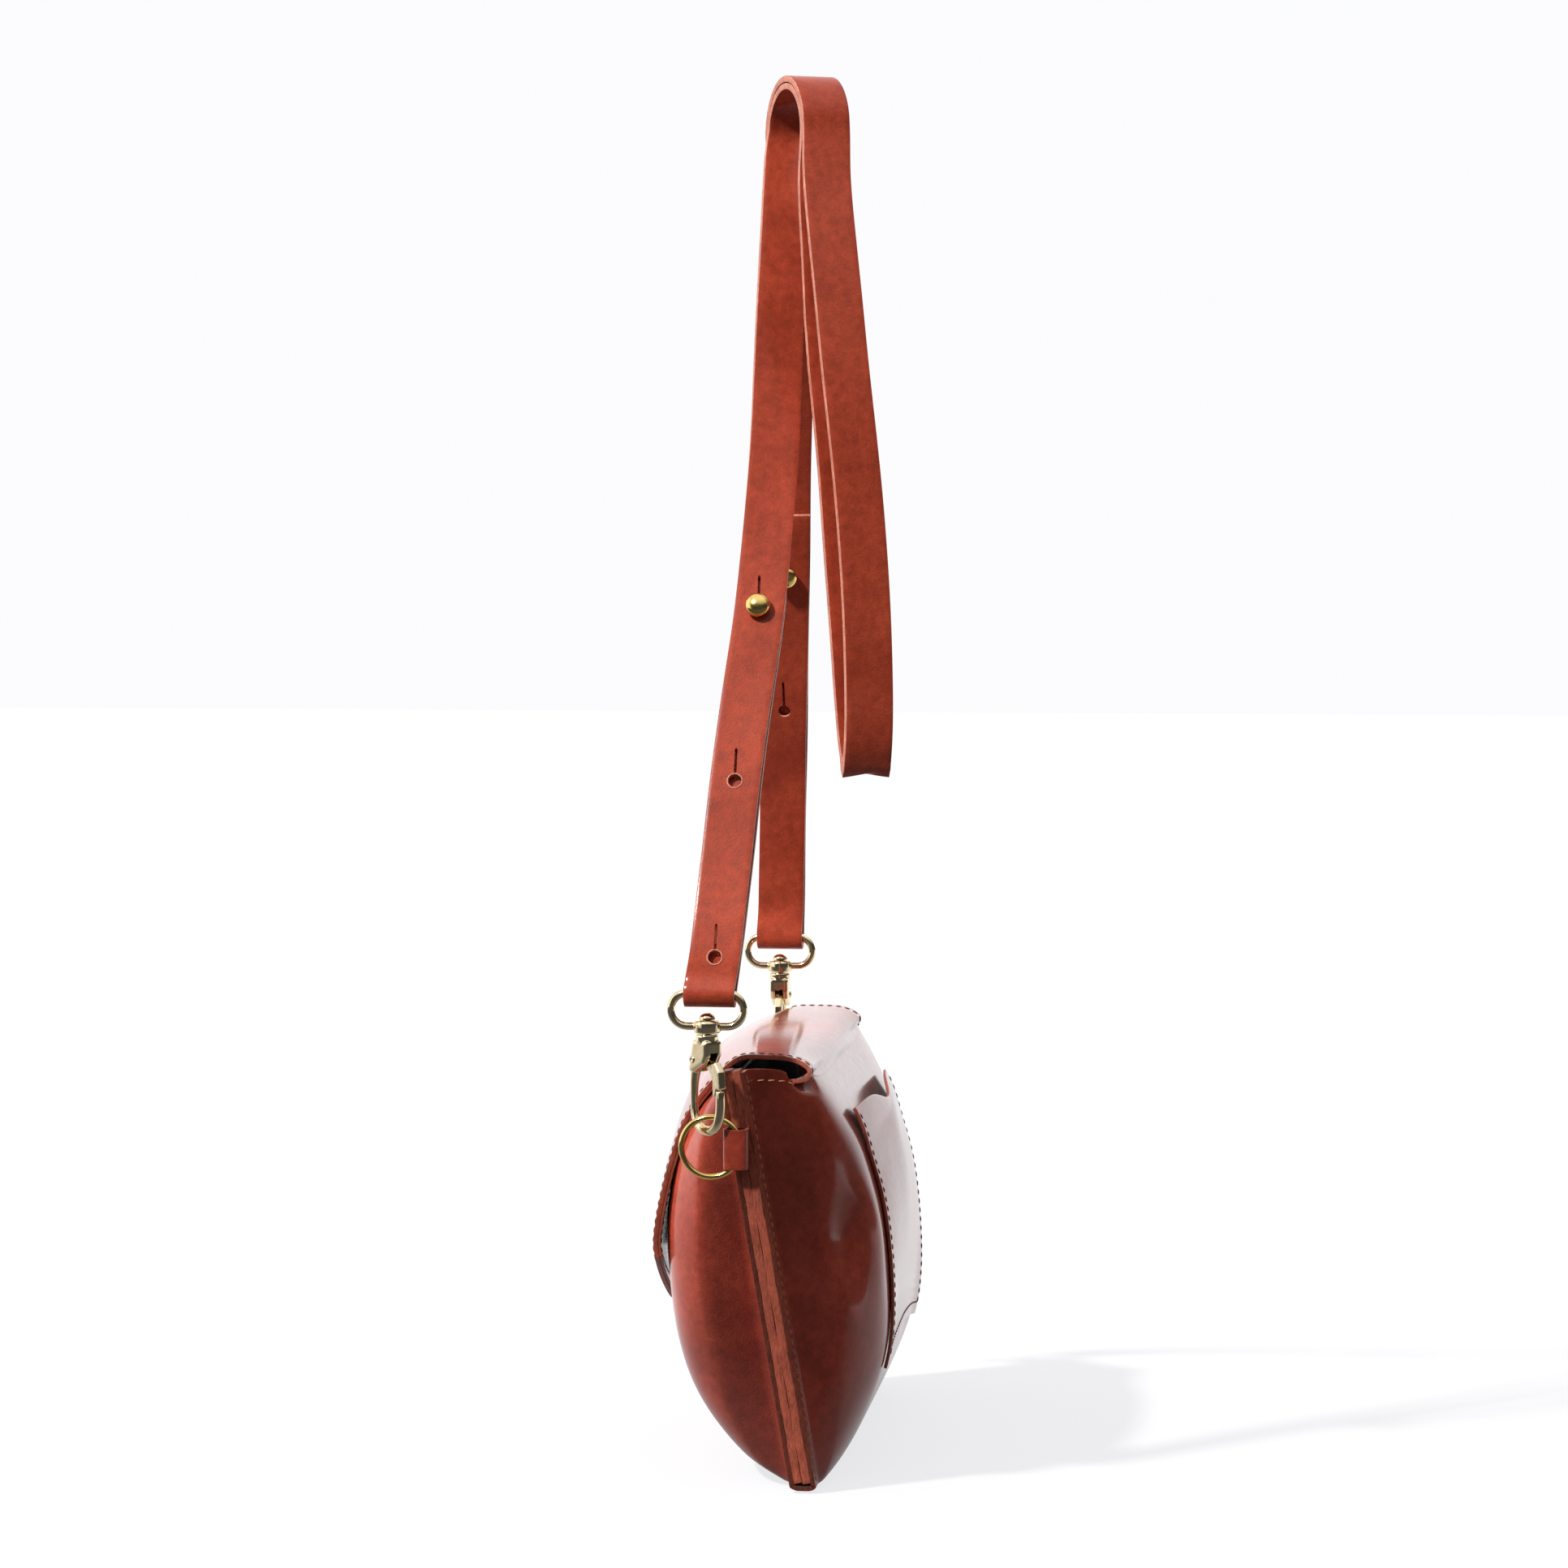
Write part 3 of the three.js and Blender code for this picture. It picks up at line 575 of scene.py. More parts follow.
def flap_surface(w, t):
    """w runs from -1 to 1 across the flap, t from 0 at the back fold to 1 at the bottom edge."""
    w, t = np.broadcast_arrays(np.asarray(w, float), np.asarray(t, float))
    at = np.clip(t, 0, 1) * 600
    grid = np.arange(601)
    ym, zm, ys, zs = (np.interp(at, grid, curve[:, k]) for curve in (flap_middle, flap_side) for k in (0, 1))
    edge = shell(w * FLAP_HALF_WIDTH, 1.0)
    (back_y, back_z), (side_y, side_z) = FLAP_MIDDLE[0], FLAP_SIDE[0]
    share = (back_y - edge[..., 1]) / (back_y - side_y)
    side = share + (w * w - share) * smooth_step(t / 0.17)
    pointed = np.sqrt(w * w + 0.004) - 0.063
    low = smooth_step((t - 0.35) / 0.3)
    y = ym + (ys - ym) * side
    z = zm + (zs - zm) * (side + (pointed - side) * low)
    sag = 1.0 * np.sin(np.clip((t - 0.42) / 0.5, 0, 1) * math.pi) * np.cos(w * 2.2)
    step = edge[..., 2] - (back_z + (side_z - back_z) * share)
    z = z + step * (1 - smooth_step(t / 0.30))
    return np.stack([w * flap_half(t), y - sag, z], axis=-1)


def flap_outward(w, t):
    """Unit normals on the flap's outer face, which looks up on top and forwards in front."""
    return -outward(flap_surface, w, t, 0.004, 0.004)


flap = laid_grid("flap_leather", 120, 150, lambda u, v: flap_surface(1 - 2 * u, v))
dress(flap, body_hide, flesh, body_edge)
thicken(flap, LEATHER)
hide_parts("flap")

FACING_LEATHER = 1.3
FACING_START = 0.47


def facing_layout(u, v):
    w, t = (1 - 2 * u) * 0.998, FACING_START + (0.998 - FACING_START) * v
    return flap_surface(w, t) - flap_outward(w, t) * (LEATHER + 0.02)


facing_sheet = laid_grid("flap_facing", 100, 90, facing_layout)
dress(facing_sheet, flesh, body_hide, body_edge)
thicken(facing_sheet, FACING_LEATHER, round_edge=0.25)

# %% [markdown]
# ## The back pocket
# A patch of the same hide, sewn on at its sides and bottom. Its mouth stands a little off the wall.

# %% Pocket
POCKET_HALF_WIDTH = 64.0
POCKET_LEATHER = 1.4
POCKET_STAND_OFF = 4.6


def pocket_surface(w, t):
    """w runs from -1 to 1 across the pocket, t from 0 at its bottom to 1 at its mouth."""
    w, t = np.broadcast_arrays(np.asarray(w, float), np.asarray(t, float))
    low = 3.35 - 0.30 * np.abs(w) ** 1.5
    high = 7.75 - 0.35 * np.exp(-((w * 3) ** 2))
    x = w * POCKET_HALF_WIDTH
    s = back_step(low + (high - low) * t)
    lift = POCKET_LEATHER + 0.45 + POCKET_STAND_OFF * (1 - w * w) ** 1.2 * smooth_step((t - 0.25) / 0.75)
    lift = lift + 1.6 * smooth_step((t - 0.75) / 0.25)
    return shell(x, s) - outward(shell, x, s) * lift[..., None]


pocket = laid_grid("pocket_leather", 110, 70, lambda u, v: pocket_surface(1 - 2 * u, v))
dress(pocket, body_hide, flesh, body_edge)
thicken(pocket, POCKET_LEATHER)
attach(pocket, "bag")
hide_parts("back_pocket")

# %% [markdown]
# ## Stitching
# One stitch is a short plump grain of waxed thread whose ends dive into the leather. It is modelled once
# and copied along each seam. Every stitch leans a little, as saddle stitching does.

# %% One stitch, and a row of them
STITCH_LENGTH, STITCH_PITCH, THREAD_RADIUS = 3.0, 3.9, 0.36

bpy.ops.mesh.primitive_uv_sphere_add(segments=8, ring_count=6, radius=1)
stitch = bpy.context.object
stitch.name = "one_stitch"
alone(stitch)
bpy.ops.object.mode_set(mode="EDIT")
bpy.ops.mesh.select_all(action="SELECT")
bpy.ops.transform.rotate(value=math.pi / 2, orient_axis="Y", center_override=(0, 0, 0))
bpy.ops.transform.resize(value=(STITCH_LENGTH / 2, THREAD_RADIUS, THREAD_RADIUS))
bpy.ops.object.mode_set(mode="OBJECT")
for vertex in stitch.data.vertices:
    vertex.co.z -= 0.55 * THREAD_RADIUS * (vertex.co.x / (STITCH_LENGTH / 2)) ** 2
STITCH_POINTS = np.array([v.co for v in stitch.data.vertices])
STITCH_FACES = [list(p.vertices) for p in stitch.data.polygons]
bpy.data.objects.remove(stitch)


def sew(name, points, normals, thread, lean=0.10):
    """A row of stitches along millimetre points that lie on the leather."""
    steps = np.linalg.norm(np.diff(points, axis=0), axis=1)
    travelled = np.concatenate([[0], np.cumsum(steps)])
    count = int(travelled[-1] / STITCH_PITCH)
    verts, faces = [], []
    for k in range(count):
        middle = (k + 0.5) * travelled[-1] / count
        p, before, after, up = (
            np.array([np.interp(middle + shift, travelled, field[:, i]) for i in range(3)])
            for shift, field in ((0, points), (-0.8, points), (0.8, points), (0, normals)))
        up = up / np.linalg.norm(up)
        along = after - before
        along = along - up * (along @ up)
        along = along / np.linalg.norm(along)
        across = np.cross(up, along)
        along = along + across * lean
        along = along / np.linalg.norm(along)
        across = np.cross(up, along)
        placed = p + up * 0.02 + STITCH_POINTS @ np.array([along, across, up])
        start = len(verts) * len(STITCH_POINTS)
        faces += [[i + start for i in face] for face in STITCH_FACES]
        verts.append(placed)
    mesh = bpy.data.meshes.new(name)
    mesh.from_pydata(world(np.vstack(verts)).tolist(), [], faces)
    row = bpy.data.objects.new(name, mesh)
    bpy.context.scene.collection.objects.link(row)
    dress(row, thread)
    for polygon in mesh.polygons:
        polygon.use_smooth = True
    return row


# %% End seams, back seam and pocket seam
SEAM_INSET = 3.6
MOUTH_ROW = (99.5, 112)
for end, sign in ENDS:
    x = sign * (HALF_LENGTH - SEAM_INSET)
    for face, s in (("back", np.linspace(0.565, 0.995, 120)), ("front", np.linspace(0.435, 0.005, 120))):
        thread = tan_thread if face == "back" else dark_thread
        row = sew(f"end_stitches_{face}_{end}", shell(x, s), -outward(shell, x + s * 0, s), thread)
        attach(row, "bag")

    x = sign * np.linspace(*MOUTH_ROW, 30)
    s = back_step(8.62) + 0 * x
    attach(sew(f"mouth_stitches_{end}", shell(x, s), -outward(shell, x, s), tan_thread), "bag")


def round_corners(corners, steps):
    """Places in even steps along straight runs from corner to corner."""
    runs = [np.linspace(a, b, steps, endpoint=False) for a, b in zip(corners, corners[1:])]
    return np.vstack(runs + [corners[-1:]])


POCKET_ROW = 0.958
walk = round_corners([(POCKET_ROW, 0.97), (POCKET_ROW, 0.05), (-POCKET_ROW, 0.05), (-POCKET_ROW, 0.97)], 80)
row = sew("pocket_stitches", pocket_surface(walk[:, 0], walk[:, 1]),
          -outward(pocket_surface, walk[:, 0], walk[:, 1], 0.004, 0.01), dark_thread)
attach(row, "bag")

# %% Flap edge stitches, on both faces
FLAP_ROW = 0.962
walk = round_corners([(FLAP_ROW, 0.03), (FLAP_ROW, 0.975), (0, 0.972), (-FLAP_ROW, 0.975), (-FLAP_ROW, 0.03)],
                     90)
flap_normal = flap_outward(walk[:, 0], walk[:, 1])
flap_points = flap_surface(walk[:, 0], walk[:, 1])
outer_row = sew("flap_stitches_outer", flap_points, flap_normal, dark_thread)
depth = LEATHER + (FACING_LEATHER + 0.02) * smooth_step((walk[:, 1:] - FACING_START + 0.01) / 0.02)
inner_row = sew("flap_stitches_inner", flap_points - flap_normal * depth, -flap_normal, tan_thread)
for piece in (flap, facing_sheet, outer_row, inner_row):
    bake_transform(piece)
print("stitch rows made")

# %% [markdown]
# ## The magnet snap
# Nothing on the outside holds the flap shut, so a covered magnet under the flap meets one on the front.

# %% Turned pieces: a disc is extruded and scaled step by step, as on a lathe


def turned(name, profile, segments=48, bevel=0.0):
    """profile is radius and height in millimetres, from the bottom up, round the Z axis at the bag's zero."""
    radius, height = profile[0]
    bpy.ops.object.select_all(action="DESELECT")
    bpy.ops.mesh.primitive_circle_add(vertices=segments, radius=radius * MM, fill_type="NGON",
                                      location=(0, 0, height * MM))
    piece = bpy.context.object
    piece.name = name
    settle(piece)
    bpy.ops.object.mode_set(mode="EDIT")
    bpy.ops.mesh.select_all(action="SELECT")
    for (r0, z0), (r1, z1) in zip(profile, profile[1:]):
        bpy.ops.mesh.extrude_region_move(TRANSFORM_OT_translate={"value": (0, 0, (z1 - z0) * MM)})
        bpy.ops.transform.resize(value=(r1 / r0, r1 / r0, 1), center_override=(0, 0, z1 * MM))
    bpy.ops.object.mode_set(mode="OBJECT")
    faces_outward(piece)
    if bevel:
        apply_modifier(piece, "BEVEL", width=bevel * MM, segments=2, limit_method="ANGLE",
                       angle_limit=math.radians(35))
    smooth_shading(piece, 38)
    return piece


def put(piece, matrix):
    """Moves a piece that was modelled at the zero by a matrix in metres."""
    piece.matrix_world = matrix
    settle(piece)
    return piece


def facing(direction, middle):
    """Turns +Z to the direction, and carries the zero to a point in metres."""
    turn = Vector(direction).to_track_quat("Z", "Y").to_matrix().to_4x4()
    return Matrix.Translation(Vector(middle)) @ turn


def dome(radius, rise, start, steps=6):
    """Profile points of a round head that starts at a height and closes almost to the axis."""
    return [(max(radius * math.cos(a), 0.05), start + rise * math.sin(a))
            for a in np.linspace(0, math.pi / 2, steps + 1)]


for node, body in (("magnet_front", "bag"), ("magnet_flap", "flap")):
    low, high = (local(corner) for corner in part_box(node))
    thick = high[1] - low[1]
    radius = (high[0] - low[0]) / 2
    disc = turned(f"{node}_disc", [(radius - 0.6, 0), (radius, 0.4), (radius, thick - 0.5),
                                   (radius - 0.5, thick - 0.1), (radius - 2.2, thick),
                                   (radius - 2.5, thick - 0.25), (0.4, thick - 0.25)])
    face = 1 if body == "flap" else -1
    middle = world(((low[0] + high[0]) / 2, low[1] if face > 0 else high[1], (low[2] + high[2]) / 2))
    put(disc, facing((0, face, 0), middle))
    dress(disc, magnet_cover)
    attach(disc, body)
    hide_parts(node)

# %% [markdown]
# ## Ring tabs and rings
# A strip of hide runs out of each end seam, round the wire ring and back in. The ring is bent from round
# wire and butts at its free side.

# %% Tabs and rings
TAB_PATH = [(108.5, -22.5), (114.4, -22.3), (116.6, -21.3), (119.4, -21.1), (121.8, -21.8), (123.0, -24.2),
            (123.1, -28.0), (121.9, -30.5), (119.4, -31.3), (116.6, -30.9), (115.5, -28.6), (114.9, -26.0),
            (114.0, -25.4), (108.5, -25.3)]
BUTT_BELOW, BUTT_WIDTH, BUTT_DEPTH = 0.8, 0.12, 0.16
tab_curve = through(TAB_PATH, 261)
tab_low, tab_high = (local(corner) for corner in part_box("ring_tab_right"))


def make_tab(end, sign):
    def layout(u, v):
        at = u * (len(tab_curve) - 1)
        x, y = (np.interp(at, np.arange(len(tab_curve)), tab_curve[:, k]) for k in (0, 1))
        z = tab_low[2] + (tab_high[2] - tab_low[2]) * v
        belly = 0.25 * np.sin(v * math.pi) * (x > 116)
        return np.stack([sign * (x + belly), y, z], axis=-1)

    tab = laid_grid(f"tab_{end}", 130, 16, layout)
    dress(tab, body_hide, flesh, body_edge)
    thicken(tab, 1.35, flip=sign > 0, round_edge=0.3)
    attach(tab, "bag")
    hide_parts(f"ring_tab_{end}")


def make_ring(end):
    low, high = (Vector(corner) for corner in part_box(f"ring_{end}"))
    middle, wire = (low + high) / 2, (high.x - low.x) / 2
    bpy.ops.object.select_all(action="DESELECT")
    bpy.ops.mesh.primitive_torus_add(major_segments=120, minor_segments=18, location=middle,
                                     rotation=(0, math.pi / 2, 0), major_radius=(high.z - low.z) / 2 - wire,
                                     minor_radius=wire)
    ring = bpy.context.object
    ring.name = f"wire_ring_{end}"
    settle(ring)
    bpy.ops.object.mode_set(mode="EDIT")
    bpy.ops.mesh.select_all(action="DESELECT")
    bpy.ops.object.mode_set(mode="OBJECT")
    for vertex in ring.data.vertices:
        below = (middle.z - vertex.co.z) / MM
        vertex.select = vertex.co.y < middle.y and abs(below - BUTT_BELOW) < BUTT_WIDTH
    bpy.ops.object.mode_set(mode="EDIT")
    bpy.ops.transform.shrink_fatten(value=-BUTT_DEPTH * MM)
    bpy.ops.object.mode_set(mode="OBJECT")
    smooth_shading(ring, 40)
    dress(ring, gold)
    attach(ring, f"ring_{end}")
    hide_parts(f"ring_{end}")


for end, sign in ENDS:
    make_tab(end, sign)
    make_ring(end)

# %% [markdown]
# ## Swivel clasps
# The clasp is cast in parts: an oval eye with a boss, a hook that turns under the boss on a rivet, and a
# gate that closes the hook, on a pin and a small spring. A cast part has soft, flowing joins between its
# bars, so its bars are joined, remeshed and smoothed. Each part is made upright and then turned into place.

# %% Bars, plates and cast joins
PIN_U, PIN_Z = -4.5, 171.6
HOOK_ARM = [(-4.6, 174.5), (-6.6, 170), (-8.1, 164), (-8.6, 158), (-8.5, 152.4), (-7.8, 148.6), (-5.9, 145.6),
            (-3.1, 143.9), (0.0, 143.5), (3.2, 143.9), (6.0, 145.7), (7.8, 148.8), (8.6, 152.6), (8.7, 156.6),
            (8.5, 160.0)]
HOOK_RADII = [2.9, 2.5, 1.9, 1.65, 1.65, 1.75, 1.85, 2.0, 2.1, 2.15, 2.15, 2.1, 2.0, 1.95, 1.8]


def bar(name, path, radii, flatten=1.0):
    """A round bar along points in the X-Z plane, in millimetres, with its own radius at each point."""
    curve = bpy.data.curves.new(name, "CURVE")
    curve.dimensions = "3D"
    curve.bevel_depth = MM
    curve.bevel_resolution = 5
    curve.use_fill_caps = True
    line = curve.splines.new("POLY")
    fine = through(np.column_stack([path, radii]), 6 * len(path))
    line.points.add(len(fine) - 1)
    for point, (u, z, radius) in zip(line.points, fine):
        point.co = (u * MM, 0, z * MM, 1)
        point.radius = radius
    piece = bpy.data.objects.new(name, curve)
    bpy.context.scene.collection.objects.link(piece)
    alone(piece)
    bpy.ops.object.convert(target="MESH")
    piece = bpy.context.object
    piece.scale = (1, flatten, 1)
    settle(piece)
    faces_outward(piece)
    return piece


def plate(name, outline, thickness, bevel=0.3, shift=0.0):
    """A flat piece cut to an outline in the X-Z plane and extruded along Y, with eased edges."""
    bpy.ops.object.select_all(action="DESELECT")
    bpy.ops.mesh.primitive_circle_add(vertices=len(outline), radius=1, fill_type="NGON")
    piece = bpy.context.object
    piece.name = name
    for vertex, (u, z) in zip(piece.data.vertices, outline):
        vertex.co = (u * MM, (shift - thickness / 2) * MM, z * MM)
    bpy.ops.object.mode_set(mode="EDIT")
    bpy.ops.mesh.select_all(action="SELECT")
    bpy.ops.mesh.extrude_region_move(TRANSFORM_OT_translate={"value": (0, thickness * MM, 0)})
    bpy.ops.object.mode_set(mode="OBJECT")
    faces_outward(piece)
    if bevel:
        apply_modifier(piece, "BEVEL", width=bevel * MM, segments=3, limit_method="ANGLE",
                       angle_limit=math.radians(40))
    smooth_shading(piece, 40)
    return piece


def ribbon(path, half_widths):
    """The outline of a tapered strip along a path."""
    path = np.asarray(path, float)
    along = np.gradient(path, axis=0)
    along = along / np.linalg.norm(along, axis=1, keepdims=True)
    side = np.column_stack([-along[:, 1], along[:, 0]]) * np.asarray(half_widths)[:, None]
    return np.vstack([path + side, (path - side)[::-1]])


def cast(name, pieces, voxel, passes):
    """Joins bars and plates into one smooth casting."""
    piece = unite(name, pieces)
    apply_modifier(piece, "REMESH", mode="VOXEL", voxel_size=voxel * MM)
    apply_modifier(piece, "SMOOTH", factor=0.5, iterations=passes)
    smooth_shading(piece, 60)
    return piece


def cut_away(piece, cutter):
    alone(piece)
    modifier = piece.modifiers.new("cut", "BOOLEAN")
    modifier.material_mode = "TRANSFER"
    modifier.operation = "DIFFERENCE"
    modifier.solver = "EXACT"
    modifier.object = cutter
    bpy.ops.object.modifier_apply(modifier=modifier.name)
    bpy.data.objects.remove(cutter)


def lying_cylinder(radius, length, u, z, shift=0.0, segments=24):
    """A cylinder along Y, in millimetres."""
    bpy.ops.object.select_all(action="DESELECT")
    bpy.ops.mesh.primitive_cylinder_add(vertices=segments, radius=radius * MM, depth=length * MM,
                                        location=(u * MM, shift * MM, z * MM), rotation=(math.pi / 2, 0, 0))
    settle(bpy.context.object)
    return bpy.context.object


# %% The hook, its gate, pin, spring and rivet
def make_hook():
    arm = bar("arm", HOOK_ARM, HOOK_RADII, 0.95)
    head = plate("head", [(-7.6, 166.8), (-4.6, 166.2), (-1.2, 168.2), (2.6, 170.2), (4.6, 173.6),
                          (4.7, 179.6), (-4.7, 179.6), (-6.4, 173)], 8.2, 1.3)
    collar = turned("collar", [(4.2, 178.6), (4.5, 179.2), (4.5, 181.2), (4.2, 181.9), (0.5, 181.95)])
    hook = cast("hook", [arm, head, collar], 0.28, 5)
    slot = plate("slot", [(PIN_U - 1.6, 163), (14, 163), (14, 174.6), (1.5, 174.6), (PIN_U, 173.6)], 3.6, 0.0)
    cut_away(hook, slot)
    cut_away(hook, lying_cylinder(1.05, 12, PIN_U, PIN_Z))
    smooth_shading(hook, 50)
    return hook


def make_gate():
    path = through([(-4.5, 171.6), (-0.8, 170.9), (3.0, 169.4), (5.3, 166.4), (6.0, 162.8), (5.6, 157.6)], 22)
    widths = np.interp(np.linspace(0, 1, 22), [0, 0.3, 0.6, 0.85, 1], [2.0, 2.0, 1.75, 1.45, 0.9])
    bar_plate = plate("gate_bar", ribbon(path, widths), 2.7, 0.45, 0.35)
    cheek = plate("gate_cheek", [(3.4, 170.6), (6.6, 171.4), (9.4, 167.5), (10.3, 160.8), (7.3, 160.6),
                                 (6.3, 165)], 3.2, 0.6, 0.2)
    knob = bar("knob", [(-4.6, 171.2), (-5.0, 168.6), (-5.2, 166.4)], [1.6, 1.2, 0.9], 0.8)
    gate = cast("gate", [bar_plate, cheek, knob], 0.2, 3)
    cut_away(gate, lying_cylinder(1.05, 12, PIN_U, PIN_Z))
    smooth_shading(gate, 50)
    return gate


def make_pin():
    half = [(0.95, 3.9), (1.35, 4.0), (1.5, 4.3), (1.25, 4.55), (0.75, 4.55), (0.55, 4.3), (0.1, 4.25)]
    pin = turned("pin", [(radius, -reach) for radius, reach in half[::-1]] + half, 28)
    return put(pin, Matrix.Translation((PIN_U * MM, 0, PIN_Z * MM)) @ Matrix.Rotation(math.pi / 2, 4, "X"))


def make_spring():
    turns, wire = 3.0, 0.16
    angles = np.linspace(0, turns * 2 * math.pi, 60)
    curve = bpy.data.curves.new("spring", "CURVE")
    curve.dimensions = "3D"
    curve.bevel_depth = wire * MM
    curve.bevel_resolution = 2
    curve.use_fill_caps = True
    line = curve.splines.new("POLY")
    line.points.add(len(angles) - 1)
    for point, a in zip(line.points, angles):
        point.co = ((PIN_U + 1.5 * math.cos(a)) * MM, (-1.65 + 0.36 * a / (2 * math.pi)) * MM,
                    (PIN_Z + 1.5 * math.sin(a)) * MM, 1)
    spring = bpy.data.objects.new("spring", curve)
    bpy.context.scene.collection.objects.link(spring)
    alone(spring)
    bpy.ops.object.convert(target="MESH")
    smooth_shading(bpy.context.object, 60)
    return bpy.context.object


def make_rivet():
    shank = [(1.5, 180.5), (1.6, 181), (1.6, 187.6), (3.2, 187.65)]
    return turned("rivet", shank + dome(3.4, 2.6, 187.75, 7)[:-1])


def make_eye():
    """A wire oval: half circles are spun and straights extruded, then the boss is joined on."""
    wire, low, high, straight = 1.6, 184.9, 198.0, 7.9
    middle = (low + high) / 2
    bpy.ops.object.select_all(action="DESELECT")
    bpy.ops.mesh.primitive_circle_add(vertices=18, radius=wire * MM, rotation=(math.pi / 2, 0, 0),
                                      location=(0, straight * MM, low * MM))
    eye = bpy.context.object
    settle(eye)
    bpy.ops.object.mode_set(mode="EDIT")
    bpy.ops.mesh.select_all(action="SELECT")
    for sign in (1, -1):
        bpy.ops.mesh.spin(steps=20, angle=-math.pi, axis=(1, 0, 0),
                          center=(0, sign * straight * MM, middle * MM))
        bpy.ops.mesh.extrude_region_move(TRANSFORM_OT_translate={"value": (0, -sign * 2 * straight * MM, 0)})
    bpy.ops.object.mode_set(mode="OBJECT")
    faces_outward(eye)
    boss = turned("boss", [(4.8, 182.3), (5.2, 182.7), (5.3, 184.4), (5.2, 186.3), (4.6, 187.2), (3.6, 187.4),
                           (0.5, 187.45)])
    eye = cast("eye", [eye, boss], 0.26, 3)
    bore = turned("bore", [(2.0, 175), (2.0, 195)], 32)
    cut_away(eye, bore)
    smooth_shading(eye, 50)
    return eye


# %% Both clasps, each part on its own body
CLASP_MAKERS = {"clasp_hook": make_hook, "clasp_gate": make_gate, "gate_pin": make_pin,
                "gate_spring": make_spring, "clasp_rivet": make_rivet}


def place_clasp(end):
    swivel = local(joints[f"hook_swivel_{end}"]["pos_m"])
    gate_axis = joints[f"gate_open_{end}"]["axis"]
    turn = math.atan2(-gate_axis[0], gate_axis[1])
    origin = Vector(world((swivel[0], swivel[1], 0)))
    eye = put(make_eye(), Matrix.Translation(origin))
    eye.name = f"oval_eye_{end}"
    dress(eye, pale_gold)
    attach(eye, f"clasp_eye_{end}")
    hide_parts(f"clasp_eye_{end}")
    for node, make in CLASP_MAKERS.items():
        piece = put(make(), Matrix.Translation(origin) @ Matrix.Rotation(turn, 4, "Z"))
        piece.name = f"{node}_part_{end}"
        dress(piece, steel if node == "gate_spring" else pale_gold)
        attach(piece, f"clasp_gate_{end}" if node == "clasp_gate" else f"clasp_hook_{end}")
        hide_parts(f"{node}_{end}")


for end, sign in ENDS:
    place_clasp(end)
print("clasps made")

# %% [markdown]
# ## The shoulder strap
# One flat strap, 20 mm wide and 1.8 m long. From its right-hand tongue it runs round the right clasp's eye,
# up and over the rod, down into a hanging bight, back over the rod and down to the other clasp. Its route is
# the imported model's, point by point. The cut edges are left pale.

# %% The strap's route
STRAP_WIDTH, STRAP_THICKNESS = 20.0, 2.6
TONGUE_GAP = STRAP_THICKNESS + 0.5
HANG_INNER, HANG_OUTER = 19.3, 22.3
HANG_TURN = math.radians(26.8)
HANG = local((0, 0, 0)) + np.array([0, 0, STRAP_THICKNESS / 2 - HANG_INNER])
NEAR_LEG = [(121.6, -35.8, 203), (118.5, -34.2, 214), (106, -32, 245), (93, -30.1, 278), (79, -26.6, 315.7),
            (68, -23.6, 347.3), (49, -20.8, 396.9), (31, -20.1, 448), (14, -19.8, 497.3), (0.5, -19.6, 528)]
BEHIND_BIGHT = [(30, -2.4, 520), (36, -0.6, 490), (42, 2.2, 455), (50, 7.8, 405), (56, 12.4, 357),
                (60.5, 15.6, 318), (62.2, 17.6, 297), (63.6, 18.8, 288.6)]
BIGHT_BOTTOM = [(67.8, 19.9, 282.6)]
BEFORE_BIGHT = [(71.6, 20.9, 290), (73.4, 21.4, 300), (73.6, 21.2, 320), (71, 19.6, 357.9), (64.6, 14.2, 413),
                (54.8, 8.2, 462), (45.2, 4, 495), (35.4, 0.6, 524)]
FAR_LEG = [(-14, -18.8, 528), (-21.4, -19.8, 499), (-33, -22.6, 466), (-51, -25.6, 415), (-70, -28.3, 362.8),
           (-90, -31.4, 309.3), (-108, -34.6, 254.7), (-119, -36.6, 214), (-121.6, -37.2, 203)]
EYE = local(joints["eye_rock_right"]["pos_m"])


def centripetal(points, per_span=24):
    """A smooth curve through points that are unevenly spaced, without loops or overshoot."""
    p = np.asarray(points, float)
    p = np.vstack([2 * p[0] - p[1], p, 2 * p[-1] - p[-2]])
    knots = np.concatenate([[0], np.cumsum(np.linalg.norm(np.diff(p, axis=0), axis=1) ** 0.5)])
    out = []
    for i in range(1, len(p) - 2):
        k0, k1, k2, k3 = knots[i - 1:i + 3]
        t = np.linspace(k1, k2, per_span, endpoint=False)[:, None]
        a1 = (k1 - t) / (k1 - k0) * p[i - 1] + (t - k0) / (k1 - k0) * p[i]
        a2 = (k2 - t) / (k2 - k1) * p[i] + (t - k1) / (k2 - k1) * p[i + 1]
        a3 = (k3 - t) / (k3 - k2) * p[i + 1] + (t - k2) / (k3 - k2) * p[i + 2]
        b1 = (k2 - t) / (k2 - k0) * a1 + (t - k0) / (k2 - k0) * a2
        b2 = (k3 - t) / (k3 - k1) * a2 + (t - k1) / (k3 - k1) * a3
        out.append((k2 - t) / (k2 - k1) * b1 + (t - k1) / (k2 - k1) * b2)
    return np.vstack(out + [p[-2:-1]])


def evenly(curve, spacing):
    """Points at even distances along a curve, with their distances."""
    travelled = np.concatenate([[0], np.cumsum(np.linalg.norm(np.diff(curve, axis=0), axis=1))])
    s = np.linspace(0, travelled[-1], int(travelled[-1] / spacing) + 1)
    return np.column_stack([np.interp(s, travelled, curve[:, k]) for k in range(3)]), s


